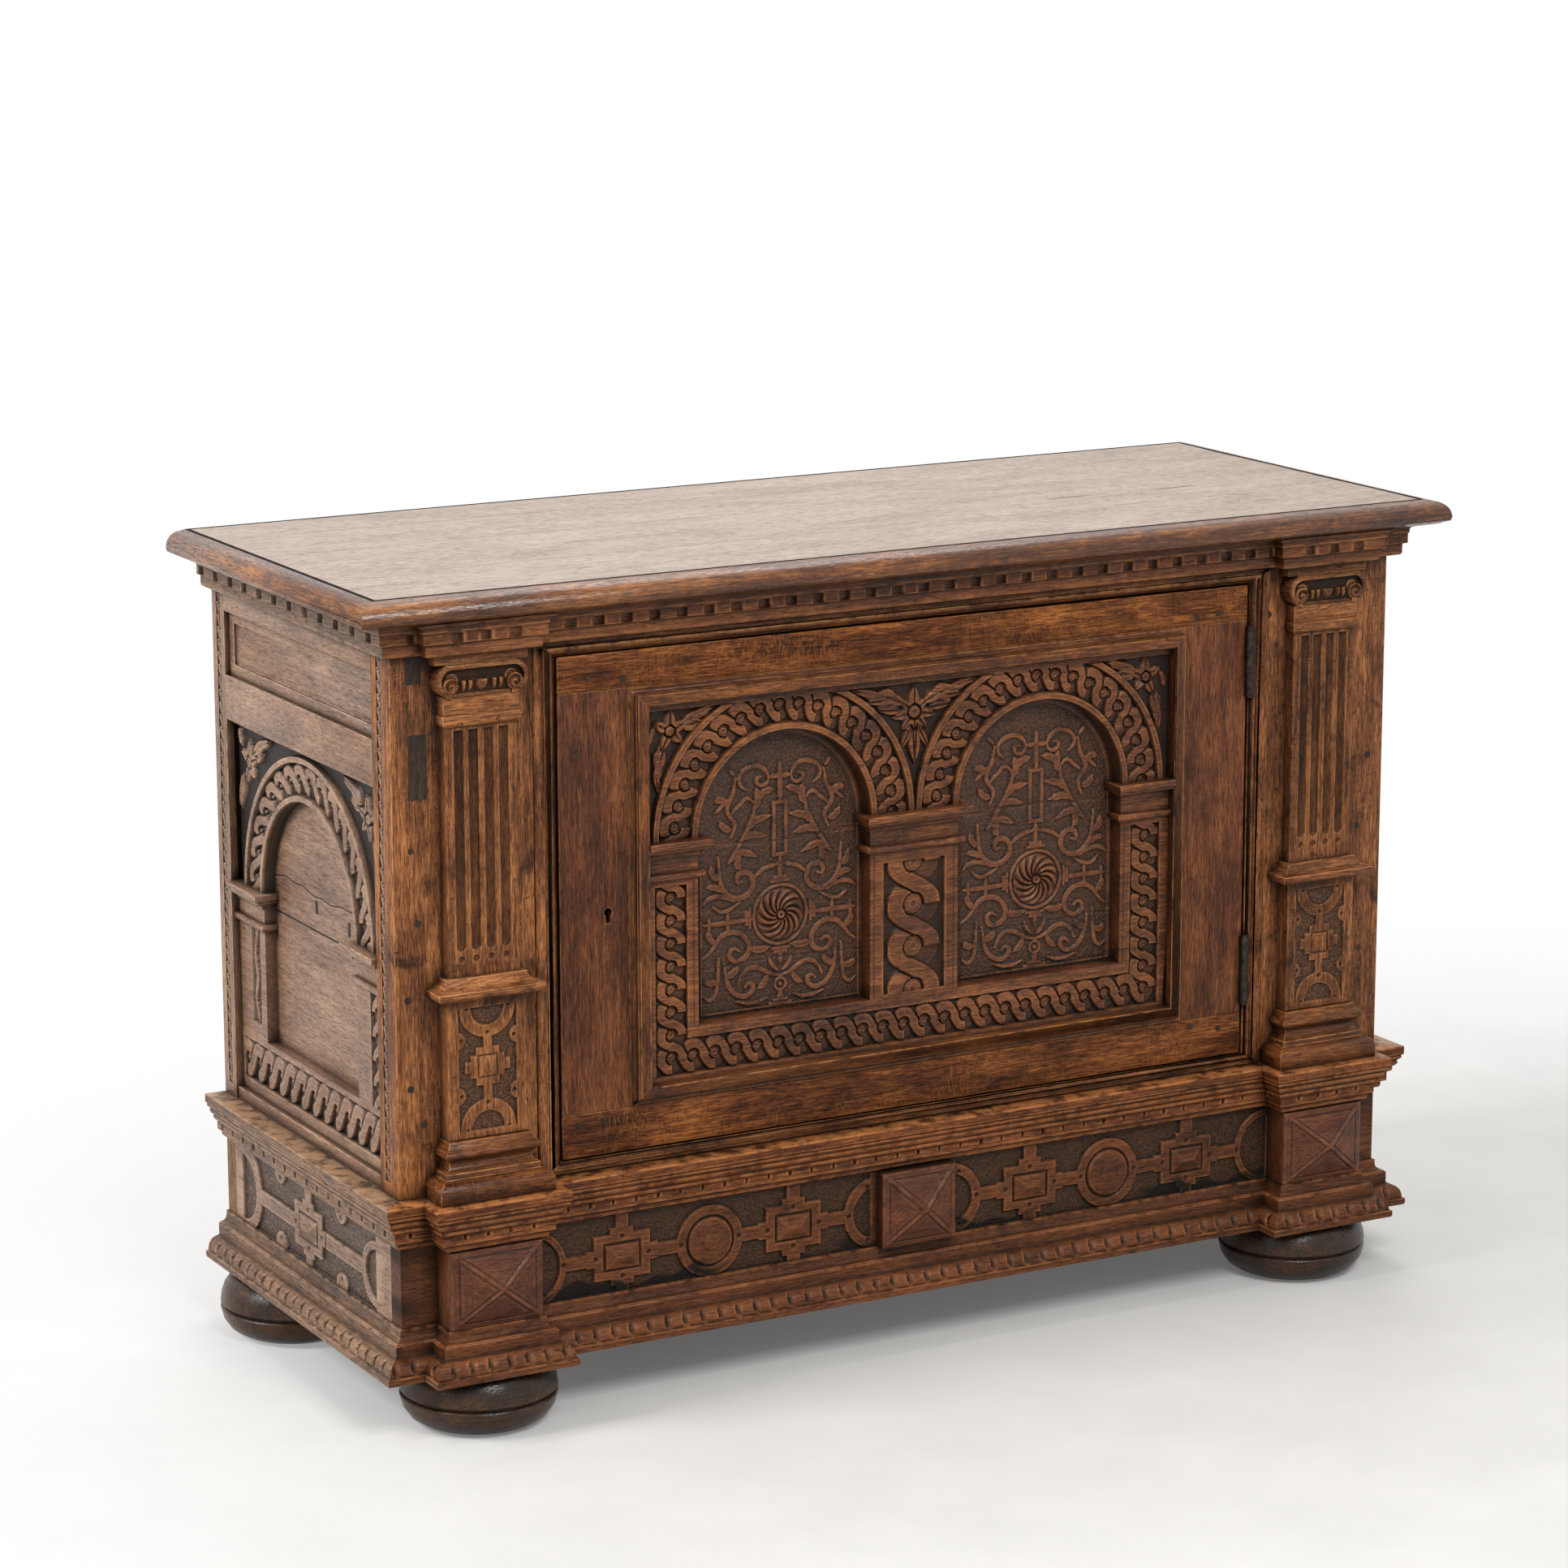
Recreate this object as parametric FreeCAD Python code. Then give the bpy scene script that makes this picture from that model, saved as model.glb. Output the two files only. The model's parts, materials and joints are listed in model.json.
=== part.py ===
"""Carved oak cabinet with one hinged door, built from its separate pieces.

Millimetres. X runs to the right, Y to the back and Z up. The origin lies on the floor, in the middle of the
cabinet's width and depth. Each piece is drawn once, from the named sizes below.
"""
import FreeCAD
import Part
import math
import os

V = FreeCAD.Vector

# Overall sizes
carcass_width = 1200.0
carcass_depth = 457.0
foot_height = 66.0
plinth_height = 185.0
case_height = 593.0
top_thickness = 28.0
overrun = 2.0

# Feet
foot_radius = 82.0
foot_front_inset = 94.0
foot_rear_inset = 40.0
foot_front_setback = 20.0
foot_rear_setback = 89.0
foot_outline_shares = [
    (0.66, 0.00), (1.00, 0.46, 0.91, 0.16), (0.955, 0.50), (1.00, 0.54), (0.76, 1.00, 0.945, 0.82)]

# Plinth boards, blocks and faceted diamonds
plinth_board = 24.0
block_inset = 92.0
block_width = 104.0
block_projection = 31.0
diamond_height = 84.0
diamond_rise = 20.0
diamond_frame = 3.0
diamond_border = 5.0
centre_diamond_width = 91.0
centre_diamond_projection = 14.0

# Mouldings of the plinth
ledge_reach = 24.0
ledge_rise = 50.0
ledge_shares = [
    (0.00, 0.00), (0.12, 0.00), (0.24, 0.08, 0.21, 0.02), (0.24, 0.14), (0.44, 0.17), (0.44, 0.37),
    (0.56, 0.40), (0.60, 0.50, 0.63, 0.45), (0.70, 0.54), (0.76, 0.66, 0.79, 0.60), (0.86, 0.70),
    (0.90, 0.78, 0.92, 0.74), (1.00, 0.82), (1.00, 1.00), (0.00, 1.00)]
ledge_fascia_shares = (0.44, 0.20, 0.35)
lip_reach = 28.0
lip_rise = 50.0
lip_shares = [
    (0.00, 0.00), (0.97, 0.00), (1.00, 0.04), (1.00, 0.14), (0.90, 0.16), (0.46, 0.46, 0.79, 0.37),
    (0.43, 0.48), (0.43, 0.72), (0.36, 0.76), (0.10, 0.92, 0.17, 0.80), (0.10, 1.00), (0.00, 1.00)]

# Frieze of the plinth: straps on a sunk ground
frieze_sink = 3.0
strap_square = 44.0
strap_square_step = 8.0
strap_ring_radius = 32.0
strap_ring_band = 9.0
strap_boss_radius = 17.0
strap_half_radius = 35.0
strap_half_inner_radius = 24.0
strap_bar = 15.0
side_field_front = 62.0
side_field_rear = 42.0

# Small square holes of the mouldings
dentil_pitch = 28.0
dentil_width = 9.0
dentil_depth = 6.0
hole_width = 5.0
hole_depth = 3.0

# Front stiles, rails and doorway
stile_thickness = 45.0
front_stile_width = 180.5
front_rail_height = 50.5
sill_height = 13.5
stop_lip = 8.5
stop_thickness = 8.0
rail_tenon = 30.0
rail_tenon_thickness = 16.0
rail_tenon_width_share = 0.6
tenon_setback_share = 0.42
doorway_strip_depth = 9.0
doorway_strip_proud = 3.5
doorway_strip_shares = [
    (0.00, 0.00), (0.00, 0.72), (0.22, 0.98), (0.46, 1.00, 0.34, 1.05), (0.52, 0.90), (0.84, 0.90),
    (1.00, 0.72, 0.95, 0.85), (1.00, 0.00)]

# Rear posts, side frame and its panels
rear_post_width = 45.0
rear_post_depth = 32.0
side_rail_thickness = 30.0
side_top_rail = 57.0
side_upper_panel = 69.0
side_middle_rail = 48.0
side_foot_rail = 13.0
side_foot_rail_sink = 2.0
panel_tongue = 8.0
upper_panel_sink = 6.0
upper_panel_thickness = 12.0
upper_panel_field_sink = 4.0
upper_panel_bevel = 12.0
side_arch_sink = 9.0
side_arch_thickness = 14.0
side_field_thickness = 10.0
side_pier_width = 70.0
side_crown_margin = 57.0
side_niche_foot = 77.0
side_groove_width = 11.0
side_groove_depth = 3.0
side_groove_inset = 22.0

# Arch rings, imposts and necks
ring_band = 8.0
ring_proud = 2.0
door_ring_spread = 53.0
side_ring_spread = 49.0
impost_reach = 15.0
impost_height = 18.0
impost_overhang = 10.0
impost_shares = [
    (0.00, 0.00), (0.20, 0.00), (0.62, 0.42, 0.30, 0.30), (0.75, 0.42), (0.75, 0.62), (1.00, 0.62),
    (1.00, 1.00), (0.00, 1.00)]
neck_reach = 6.0
neck_height = 8.0
neck_drop = 42.0
neck_shares = [(0.00, 0.00), (0.40, 0.00), (1.00, 0.50, 0.85, 0.14), (0.40, 1.00, 0.85, 0.86), (0.00, 1.00)]

# Back, floor and shelf
back_thickness = 12.0
back_setback = 5.0
back_board_count = 4
floor_thickness = 12.0
shelf_thickness = 18.0
shelf_height = 270.0
shelf_front_gap = 15.0
bearer_width = 20.0
bearer_height = 18.0

# Top board, inlay, edge and cornice
inlay_width = 3.0
inlay_depth = 2.5
inlay_inset_back = 10.0
edge_reach = 50.0
edge_inner_reach = 25.3
edge_shares = [
    (0.00, 0.00), (0.25, 0.00), (0.80, 0.16, 0.45, 0.03), (0.95, 0.20), (1.00, 0.38, 0.99, 0.28),
    (0.55, 0.93, 0.88, 0.72), (0.12, 1.00)]
cornice_reach = 22.0
cornice_rise = 35.0
cornice_break = 15.0
cornice_break_width = 104.0
cornice_shares = [
    (0.00, 0.00), (0.34, 0.00), (0.54, 0.13, 0.49, 0.03), (0.54, 0.36), (0.73, 0.40), (0.73, 0.69),
    (0.79, 0.75), (1.00, 0.93, 0.82, 0.88), (1.00, 1.00), (0.00, 1.00)]
cornice_fascia_shares = (0.73, 0.42, 0.67)

# Pilasters
pilaster_inset = 92.0
abacus_width = 102.0
abacus_height = 10.0
abacus_projection = 18.0
volute_height = 33.0
volute_width = 100.0
volute_projection = 20.0
volute_eye_radius = 7.0
volute_eye_depth = 2.0
volute_sink = 4.0
volute_rim = 5.0
volute_bite = 1.0
echinus_height = 18.0
echinus_width = 83.0
echinus_projection = 17.0
astragal_height = 13.0
astragal_width = 76.0
astragal_projection = 14.0
astragal_reach = 5.0
shaft_width = 80.0
shaft_projection = 14.5
shaft_foot = 27.0
flute_count = 4
flute_pitch = 16.5
flute_radius = 4.6
flute_sink = 4.0
flute_top_gap = 5.0
dot_radius = 3.5
dot_depth = 2.0
dot_gap = 9.0
die_width = 88.0
die_projection = 19.0
die_height = 148.0
die_sink = 2.0
die_margin = 7.0
die_square = 27.0
cap_reach = 15.0
cap_height = 20.0
cap_shares = [
    (0.00, 0.00), (0.80, 0.00), (1.00, 0.20, 0.94, 0.08), (1.00, 0.42), (0.86, 0.46), (0.10, 0.84, 0.38, 0.56),
    (0.06, 1.00), (0.00, 1.00)]
base_core_width = 90.0
base_core_projection = 22.0
base_height = 60.0
base_reach = 19.0
base_shares = [
    (0.00, 0.00), (1.00, 0.00), (1.00, 0.20), (0.62, 0.36, 0.89, 0.30), (0.40, 0.38), (0.40, 0.48),
    (0.14, 0.53), (0.14, 0.68, 0.05, 0.60), (0.28, 0.72), (0.28, 0.86, 0.42, 0.79), (0.12, 0.92),
    (0.06, 1.00), (0.00, 1.00)]

# Door
door_side_gap = 3.0
door_top_gap = 2.5
door_bottom_gap = 2.0
door_thickness = 36.0
door_stile_width = 78.0
door_top_rail = 38.0
door_bottom_rail = 46.0
door_tenon = 26.0
door_tenon_thickness = 10.0
door_tenon_width = 50.0
panel_groove_depth = 8.0
panel_groove_setback = 21.0
panel_thickness = 10.0
panel_moulding_width = 20.0
panel_moulding_proud = 11.0
panel_moulding_shares = [
    (0.00, 0.00), (0.00, 0.66), (0.12, 0.70), (0.34, 0.88, 0.27, 0.72), (0.42, 0.88), (0.46, 0.94),
    (0.95, 1.00), (1.00, 0.98), (1.00, 0.00)]
arcade_sink = 1.0
door_centre_pier = 107.0
door_side_pier = 61.0
arch_crown_margin = 42.5
niche_foot = 56.0
pier_field_margin = 12.0
pier_field_sink = 4.0

# Hinges
hinge_length = 75.0
hinge_upper_drop = 86.5
hinge_lower_rise = 97.0
hinge_pin_radius = 2.2
hinge_running_gap = 0.05
hinge_barrel_radius = 4.4
hinge_barrel_clear = 0.1
hinge_knuckle_gap = 0.3
hinge_knuckle_share = 0.34
hinge_leaf_thickness = 2.0
hinge_leaf_depth = 22.0
hinge_pin_head = 2.0
hinge_pin_head_radius = 3.4

# Lock
keyhole_inset = 55.0
keyhole_height = 255.0
keyhole_radius = 4.3
keyhole_slot_width = 5.0
keyhole_slot_height = 11.0
lock_case_length = 68.0
lock_case_height = 66.0
lock_case_drop = 30.0
lock_case_depth = 20.0
lock_wall = 2.5
bolt_length = 60.0
bolt_height = 14.0
bolt_thickness = 8.0
bolt_rise = 19.0
bolt_gap = 0.3
bolt_throw = 10.0
bolt_talon_width = 8.0
bolt_talon_depth = 4.0
strike_thickness = 1.5
strike_height = 40.0
strike_width = 20.0
strike_gap = 1.0

# Places worked out from the sizes
half_width = carcass_width / 2
foot_reach = foot_radius - foot_front_setback
block_reach = block_projection + lip_reach
front_reach = max(foot_reach, block_reach)
front = front_reach - (front_reach + carcass_depth) / 2
back = front + carcass_depth
plinth_top = foot_height + plinth_height
case_top = plinth_top + case_height
top_surface = case_top + top_thickness
doorway_half = half_width - front_stile_width
doorway_low = plinth_top + sill_height
doorway_high = case_top - front_rail_height
door_half = doorway_half - door_side_gap
door_low = doorway_low + door_bottom_gap
door_high = doorway_high - door_top_gap
sight_half = door_half - door_stile_width
sight_low = door_low + door_bottom_rail
sight_high = door_high - door_top_rail
arcade_half = sight_half - panel_moulding_width
arcade_low = sight_low + panel_moulding_width
arcade_high = sight_high - panel_moulding_width
arcade_face = front + arcade_sink
panel_face = front + panel_groove_setback
arch_radius = (arcade_half - door_side_pier - door_centre_pier / 2) / 2
arch_spacing = door_centre_pier + 2 * arch_radius
door_outer_ring_radius = arch_radius + door_ring_spread
springing = arcade_high - arch_crown_margin - arch_radius
niche_low = arcade_low + niche_foot
door_back = front + door_thickness
hinge_x = (doorway_half + door_half) / 2
hinge_y = front - hinge_barrel_radius - hinge_barrel_clear
side_inner_front = front + stile_thickness
side_inner_back = back - rear_post_depth
side_upper_high = case_top - side_top_rail
side_upper_low = side_upper_high - side_upper_panel
side_lower_high = side_upper_low - side_middle_rail
side_lower_low = plinth_top + side_foot_rail
side_arch_face = half_width - side_arch_sink
side_field_face = side_arch_face - side_arch_thickness
side_wall_inner = side_field_face - side_field_thickness
side_middle = (side_inner_front + side_inner_back) / 2
side_arch_radius = (side_inner_back - side_inner_front) / 2 - side_pier_width
side_outer_ring_radius = side_arch_radius + side_ring_spread
side_spring_height = side_lower_high - side_crown_margin - side_arch_radius
side_niche_low = plinth_top + side_niche_foot
shelf_low = plinth_top + shelf_height
back_face = back - back_setback - back_thickness
edge_inner = half_width + edge_inner_reach
pilaster_x = half_width - pilaster_inset
block_x = half_width - block_inset
pilaster_foot = plinth_top
die_low = pilaster_foot + base_height
cap_low = die_low + die_height
shaft_low = cap_low + cap_height
cornice_low = case_top - cornice_rise
doorway_strip_top = cornice_low - doorway_high
doorway_strip_width = pilaster_x - base_core_width / 2 - base_reach - doorway_half
abacus_low = cornice_low - abacus_height
volute_low = abacus_low - volute_height
echinus_low = volute_low - echinus_height
shaft_high = echinus_low - astragal_height
keyhole_x = -door_half + keyhole_inset
keyhole_z = door_low + keyhole_height

nodes = {}


def box(x0, x1, y0, y1, z0, z1):
    """A block between two corners."""
    return Part.makeBox(x1 - x0, y1 - y0, z1 - z0, V(x0, y0, z0))


def fuse(shapes):
    """All shapes joined into one, with the seams taken away."""
    whole = shapes[0]
    if len(shapes) > 1:
        whole = whole.fuse(shapes[1:])
    return whole.removeSplitter()


def mirrored(shapes):
    """The same pieces on the other side of the middle."""
    return [shape.mirror(V(0, 0, 0), V(1, 0, 0)) for shape in shapes]


def outline(points, place):
    """A closed outline: a pair ends a straight run, and four numbers an arc, with a point that it passes."""
    edges = []
    first = place(points[0][0], points[0][1])
    last = first
    for point in points[1:]:
        here = place(point[0], point[1])
        if len(point) == 4:
            edges.append(Part.Arc(last, place(point[2], point[3]), here).toShape())
        else:
            edges.append(Part.LineSegment(last, here).toShape())
        last = here
    edges.append(Part.LineSegment(last, first).toShape())
    return Part.Wire(edges)


def moulding(path, shares, reaches, rise, low, closed=False):
    """One solid per run of a moulding whose outline stands out to the right of the path, mitred at its corners."""
    corners = [V(x, y, low) for x, y in path]
    if closed:
        corners.append(corners[0])
    count = len(corners) - 1
    normals = []
    for start, end in zip(corners, corners[1:]):
        normals.append(V(end.y - start.y, start.x - end.x, 0).normalize())
    if not isinstance(reaches, (list, tuple)):
        reaches = [reaches] * count
    runs = []
    for index in range(count):
        start, end, normal, reach = corners[index], corners[index + 1], normals[index], reaches[index]
        along = (end - start).normalize()
        stretch = max(reaches) + overrun
        origin = start - along * stretch
        face = Part.Face(outline(shares, lambda out, up: origin + normal * (out * reach) + V(0, 0, up * rise)))
        solid = face.extrude(along * ((end - start).Length + stretch + stretch))
        spread = 1 + overrun / reach
        offsets = []
        for other in (index - 1, index + 1):
            inside = 0 <= other < count
            offset = normal * (reach * spread)
            if inside or closed:
                offset = offset + normals[other % count] * (reaches[other % count] * spread)
            offsets.append(offset)
        plan = [start, start + offsets[0], end + offsets[1], end, start]
        keep = Part.Face(Part.makePolygon(plan)).extrude(V(0, 0, rise))
        runs.append(solid.common(keep))
    return runs


def upright(shapes, y):
    """Runs drawn flat, with the second coordinate as height, stood up in a plane that faces the front."""
    placed = []
    for shape in shapes:
        turned = shape.copy()
        turned.rotate(V(0, 0, 0), V(1, 0, 0), 90)
        turned.translate(V(0, y, 0))
        placed.append(turned)
    return placed


def on_left(shapes):
    """Pieces drawn as a front at y = 0, turned to be the left side: x becomes the run to the front."""
    placed = []
    for shape in shapes:
        turned = shape.copy()
        turned.rotate(V(0, 0, 0), V(0, 0, 1), -90)
        turned.translate(V(-half_width, 0, 0))
        placed.append(turned)
    return placed


def upright_disc(x, z, radius, y0, y1):
    """A round of one radius, lying in a plane that faces the front."""
    return Part.makeCylinder(radius, y1 - y0, V(x, y0, z), V(0, 1, 0))


def arch_hole(x, half, low, spring, y0, y1):
    """The space under a round arch, from its foot to its crown."""
    return fuse([box(x - half, x + half, y0, y1, low, spring), upright_disc(x, spring, half, y0, y1)])


def half_ring(x, z, radius, band, y0, y1):
    """The upper half of a flat ring."""
    ring = upright_disc(x, z, radius, y0, y1).cut(upright_disc(x, z, radius - band, y0 - overrun, y1 + overrun))
    return ring.common(box(x - radius, x + radius, y0, y1, z, z + radius))


def turned_foot(x, y):
    """A flattened bun foot with a groove round its waist."""
    points = [(0, 0)] + foot_outline_shares + [(0, 1)]
    wire = outline(points, lambda out, up: V(x + out * foot_radius, y, up * foot_height))
    return Part.Face(wire).revolve(V(x, y, 0), V(0, 0, 1), 360)


def carcass_path(blocks_x, block_size, projection):
    """The plan of the front and sides, with a step forward over each pilaster."""
    half_block = block_size / 2
    path = [(-half_width, back), (-half_width, front)]
    for x in (-blocks_x, blocks_x):
        path.append((x - half_block, front))
        path.append((x - half_block, front - projection))
        path.append((x + half_block, front - projection))
        path.append((x + half_block, front))
    path.append((half_width, front))
    path.append((half_width, back))
    return path


def holes_along(path, indexes, reach_share, reach, low, high, width, depth):
    """Small square holes, evenly spaced along chosen runs of a moulding's face."""
    holes = []
    for index in indexes:
        (x0, y0), (x1, y1) = path[index], path[index + 1]
        length = math.hypot(x1 - x0, y1 - y0)
        along = V((x1 - x0) / length, (y1 - y0) / length, 0)
        normal = V(along.y, -along.x, 0)
        count = int((length - width) // dentil_pitch)
        for step in range(count + 1):
            place = V(x0, y0, 0) + along * (length / 2 + (step - count / 2) * dentil_pitch)
            inner = place + normal * (reach_share * reach - depth)
            outer = place + normal * (reach_share * reach + overrun)
            xs = sorted([inner.x - along.x * width / 2, outer.x + along.x * width / 2])
            ys = sorted([inner.y - along.y * width / 2, outer.y + along.y * width / 2])
            holes.append(box(xs[0], xs[1], ys[0], ys[1], low, high))
    return Part.makeCompound(holes)


def moulded_member(path, shares, reach, rise, low, fascia_shares, width, depth):
    """A moulding of mitred runs, with small holes cut in its flat band."""
    runs = moulding(path, shares, reach, rise, low)
    face_share, low_share, high_share = fascia_shares
    faces = range(0, len(runs), 2)
    holes = holes_along(path, faces, face_share, reach, low + low_share * rise, low + high_share * rise, width, depth)
    return [run.cut(holes) for run in runs]


def feet():
    """Four turned feet: the front pair under the blocks, the rear pair further out."""
    front_y = front + foot_front_setback
    rear_y = back - foot_rear_setback
    front_x = half_width - foot_front_inset
    rear_x = half_width - foot_rear_inset
    nodes["foot_front_left"] = [turned_foot(-front_x, front_y)]
    nodes["foot_front_right"] = [turned_foot(front_x, front_y)]
    nodes["foot_rear_left"] = [turned_foot(-rear_x, rear_y)]
    nodes["foot_rear_right"] = [turned_foot(rear_x, rear_y)]


def strap_square_at(x, z):
    """A stepped square of three crossed plates."""
    half = strap_square / 2
    plates = []
    for step in (-strap_square_step, 0, strap_square_step):
        wide = half + step
        tall = half - step
        plates.append(box(x - wide, x + wide, 0, frieze_sink, z - tall, z + tall))
    return plates


def strap_ring_at(x, z, radius, band, boss):
    """A flat ring with a round boss in it."""
    ring = upright_disc(x, z, radius, 0, frieze_sink)
    ring = ring.cut(upright_disc(x, z, radius - band, -overrun, frieze_sink + overrun))
    return [ring, upright_disc(x, z, boss, 0, frieze_sink)]


def frieze_board(x0, x1, fields, low, high):
    """A plinth board from x0 to x1 with a sunk field and its straps, drawn as a front at y = 0."""
    board = box(x0, x1, 0, plinth_board, foot_height, plinth_top)
    middle = (low + high) / 2
    for start, end, motifs in fields:
        board = board.cut(box(start, end, -overrun, frieze_sink, low, high))
        clip = box(start, end, 0, frieze_sink, low, high)
        straps = []
        places = [start + (end - start) * index / (len(motifs) - 1) for index in range(len(motifs))]
        for place, motif in zip(places, motifs):
            if motif == "square":
                straps += strap_square_at(place, middle)
            elif motif == "ring":
                straps += strap_ring_at(place, middle, strap_ring_radius, strap_ring_band, strap_boss_radius)
            else:
                band = strap_half_radius - strap_half_inner_radius
                straps += strap_ring_at(place, middle, strap_half_radius, band / 2, strap_half_inner_radius)
        reach = {"square": strap_square / 2, "ring": strap_ring_radius, "half": strap_half_radius}
        for index in range(len(motifs) - 1):
            left = places[index] + reach[motifs[index]] - strap_ring_band / 2
            right = places[index + 1] - reach[motifs[index + 1]] + strap_ring_band / 2
            straps.append(box(left, right, 0, frieze_sink, middle - strap_bar / 2, middle + strap_bar / 2))
        board = board.fuse([strap.common(clip) for strap in straps])
    return board.removeSplitter()


def diamond(x, y, half, low, high):
    """A faceted pyramid on a thin plate, with its point to the front."""
    plate = box(x - half, x + half, y - diamond_frame, y, low, high)
    inner = half - diamond_border
    base = y - diamond_frame
    corners = [(x - inner, low + diamond_border), (x + inner, low + diamond_border),
               (x + inner, high - diamond_border), (x - inner, high - diamond_border)]
    rim = Part.makePolygon([V(cx, base, cz) for cx, cz in corners + corners[:1]])
    point = Part.Vertex(V(x, base - diamond_rise + diamond_frame, (low + high) / 2))
    return fuse([plate, Part.makeLoft([rim, point], True, True)])


def plinth():
    """The base: four boards, two blocks, three diamonds and two mouldings."""
    low = foot_height + lip_rise
    high = plinth_top - ledge_rise
    half_block = block_width / 2
    outer = block_x - half_block
    inner = centre_diamond_width / 2
    right = ["half", "square", "ring", "square", "half"]
    board = frieze_board(-half_width, half_width, [(-outer, -inner, right), (inner, outer, right)], low, high)
    board.translate(V(0, front, 0))
    nodes["plinth_front"] = [board]
    start = front + plinth_board
    end = back - plinth_board
    field = (-(back - side_field_rear), -(front + side_field_front), ["half", "square", "half"])
    side = on_left([frieze_board(-end, -start, [field], low, high)])
    nodes["plinth_side_left"] = side
    nodes["plinth_side_right"] = mirrored(side)
    nodes["plinth_back"] = [box(-half_width, half_width, end, back, foot_height, plinth_top)]
    block = [box(-block_x - half_block, -outer, front - block_projection, front, foot_height, plinth_top)]
    middle = (low + high) / 2
    faces = [diamond(side_x, front - block_projection, half_block, middle - diamond_height / 2,
                     middle + diamond_height / 2) for side_x in (-block_x, block_x)]
    centre_y = front - centre_diamond_projection + diamond_frame
    centre = diamond(0, centre_y, inner, middle - diamond_height / 2, middle + diamond_height / 2)
    backing = box(-inner, inner, centre_y, front, middle - diamond_height / 2, middle + diamond_height / 2)
    nodes["plinth_block_left"] = block
    nodes["plinth_block_right"] = mirrored(block)
    nodes["plinth_diamonds"] = faces + [fuse([centre, backing])]
    path = carcass_path(block_x, block_width, block_projection)
    nodes["plinth_cornice"] = moulded_member(
        path, ledge_shares, ledge_reach, ledge_rise, high, ledge_fascia_shares, hole_width, hole_depth)
    nodes["plinth_base_moulding"] = moulding(path, lip_shares, lip_reach, lip_rise, foot_height)


def doorway_strips():
    """Four mitred strips round the doorway, let into the stiles, the top rail and the sill."""
    path = [(-doorway_half, doorway_low), (doorway_half, doorway_low),
            (doorway_half, doorway_high), (-doorway_half, doorway_high)]
    reaches = [sill_height, doorway_strip_width, doorway_strip_top, doorway_strip_width]
    rise = doorway_strip_depth + doorway_strip_proud
    runs = moulding(path, doorway_strip_shares, reaches, rise, 0, closed=True)
    return upright(runs, front + doorway_strip_depth)


def hinge_places():
    """The height of the foot of each hinge."""
    return [doorway_high - hinge_upper_drop - hinge_length / 2, doorway_low + hinge_lower_rise - hinge_length / 2]


def hinge_leaf(low, face_x, side, knuckles):
    """One leaf of a hinge: a plate let into an edge, and its knuckles round the pin."""
    plate_x = sorted([face_x, face_x + side * hinge_leaf_thickness])
    leaf = box(plate_x[0], plate_x[1], front, front + hinge_leaf_depth, low, low + hinge_length)
    pieces = [leaf]
    for start, end in knuckles:
        pieces.append(Part.makeCylinder(hinge_barrel_radius, end - start, V(hinge_x, hinge_y, start)))
        pieces.append(box(plate_x[0], plate_x[1], hinge_y, front, start, end))
    bore = Part.makeCylinder(hinge_pin_radius + hinge_running_gap, hinge_length + overrun + overrun,
                             V(hinge_x, hinge_y, low - overrun))
    return fuse(pieces).cut(bore)


def hinges():
    """Two iron hinges: the frame's leaves hold the pins, and the door's leaves turn on them."""
    frame_leaves, door_leaves, pins = [], [], []
    for low in hinge_places():
        knuckle = hinge_length * hinge_knuckle_share
        first = (low, low + knuckle)
        last = (low + hinge_length - knuckle, low + hinge_length)
        middle = (first[1] + hinge_knuckle_gap, last[0] - hinge_knuckle_gap)
        frame_leaves.append(hinge_leaf(low, doorway_half, 1, [first, last]))
        door_leaves.append(hinge_leaf(low, door_half, -1, [middle]))
        pin = Part.makeCylinder(hinge_pin_radius, hinge_length, V(hinge_x, hinge_y, low))
        foot = Part.makeCylinder(hinge_pin_head_radius, hinge_pin_head, V(hinge_x, hinge_y, low - hinge_pin_head))
        head = Part.makeCylinder(hinge_pin_head_radius, hinge_pin_head, V(hinge_x, hinge_y, low + hinge_length))
        pins.append(fuse([foot, pin, head]))
    nodes["hinge_frame_leaves"] = frame_leaves
    nodes["hinge_door_leaves"] = door_leaves
    nodes["hinge_pins"] = pins


def leaf_seat(face_x, side):
    """The shallow recesses that the hinge leaves are let into, in one edge."""
    seats = []
    for low in hinge_places():
        xs = sorted([face_x, face_x + side * hinge_leaf_thickness])
        seats.append(box(xs[0], xs[1], hinge_y, front + hinge_leaf_depth, low, low + hinge_length))
    return seats


def bolt_box(gap, start_x, end_x):
    """The space of the bolt with a gap round it."""
    middle = door_back - lock_case_depth / 2
    low = keyhole_z + bolt_rise
    return box(start_x, end_x, middle - bolt_thickness / 2 - gap, middle + bolt_thickness / 2 + gap,
               low - gap, low + bolt_height + gap)


def keyhole(y0, y1):
    """The keyhole: a round with a slot below it."""
    slot = box(keyhole_x - keyhole_slot_width / 2, keyhole_x + keyhole_slot_width / 2, y0, y1,
               keyhole_z - keyhole_slot_height, keyhole_z)
    return fuse([upright_disc(keyhole_x, keyhole_z, keyhole_radius, y0, y1), slot])


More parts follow.
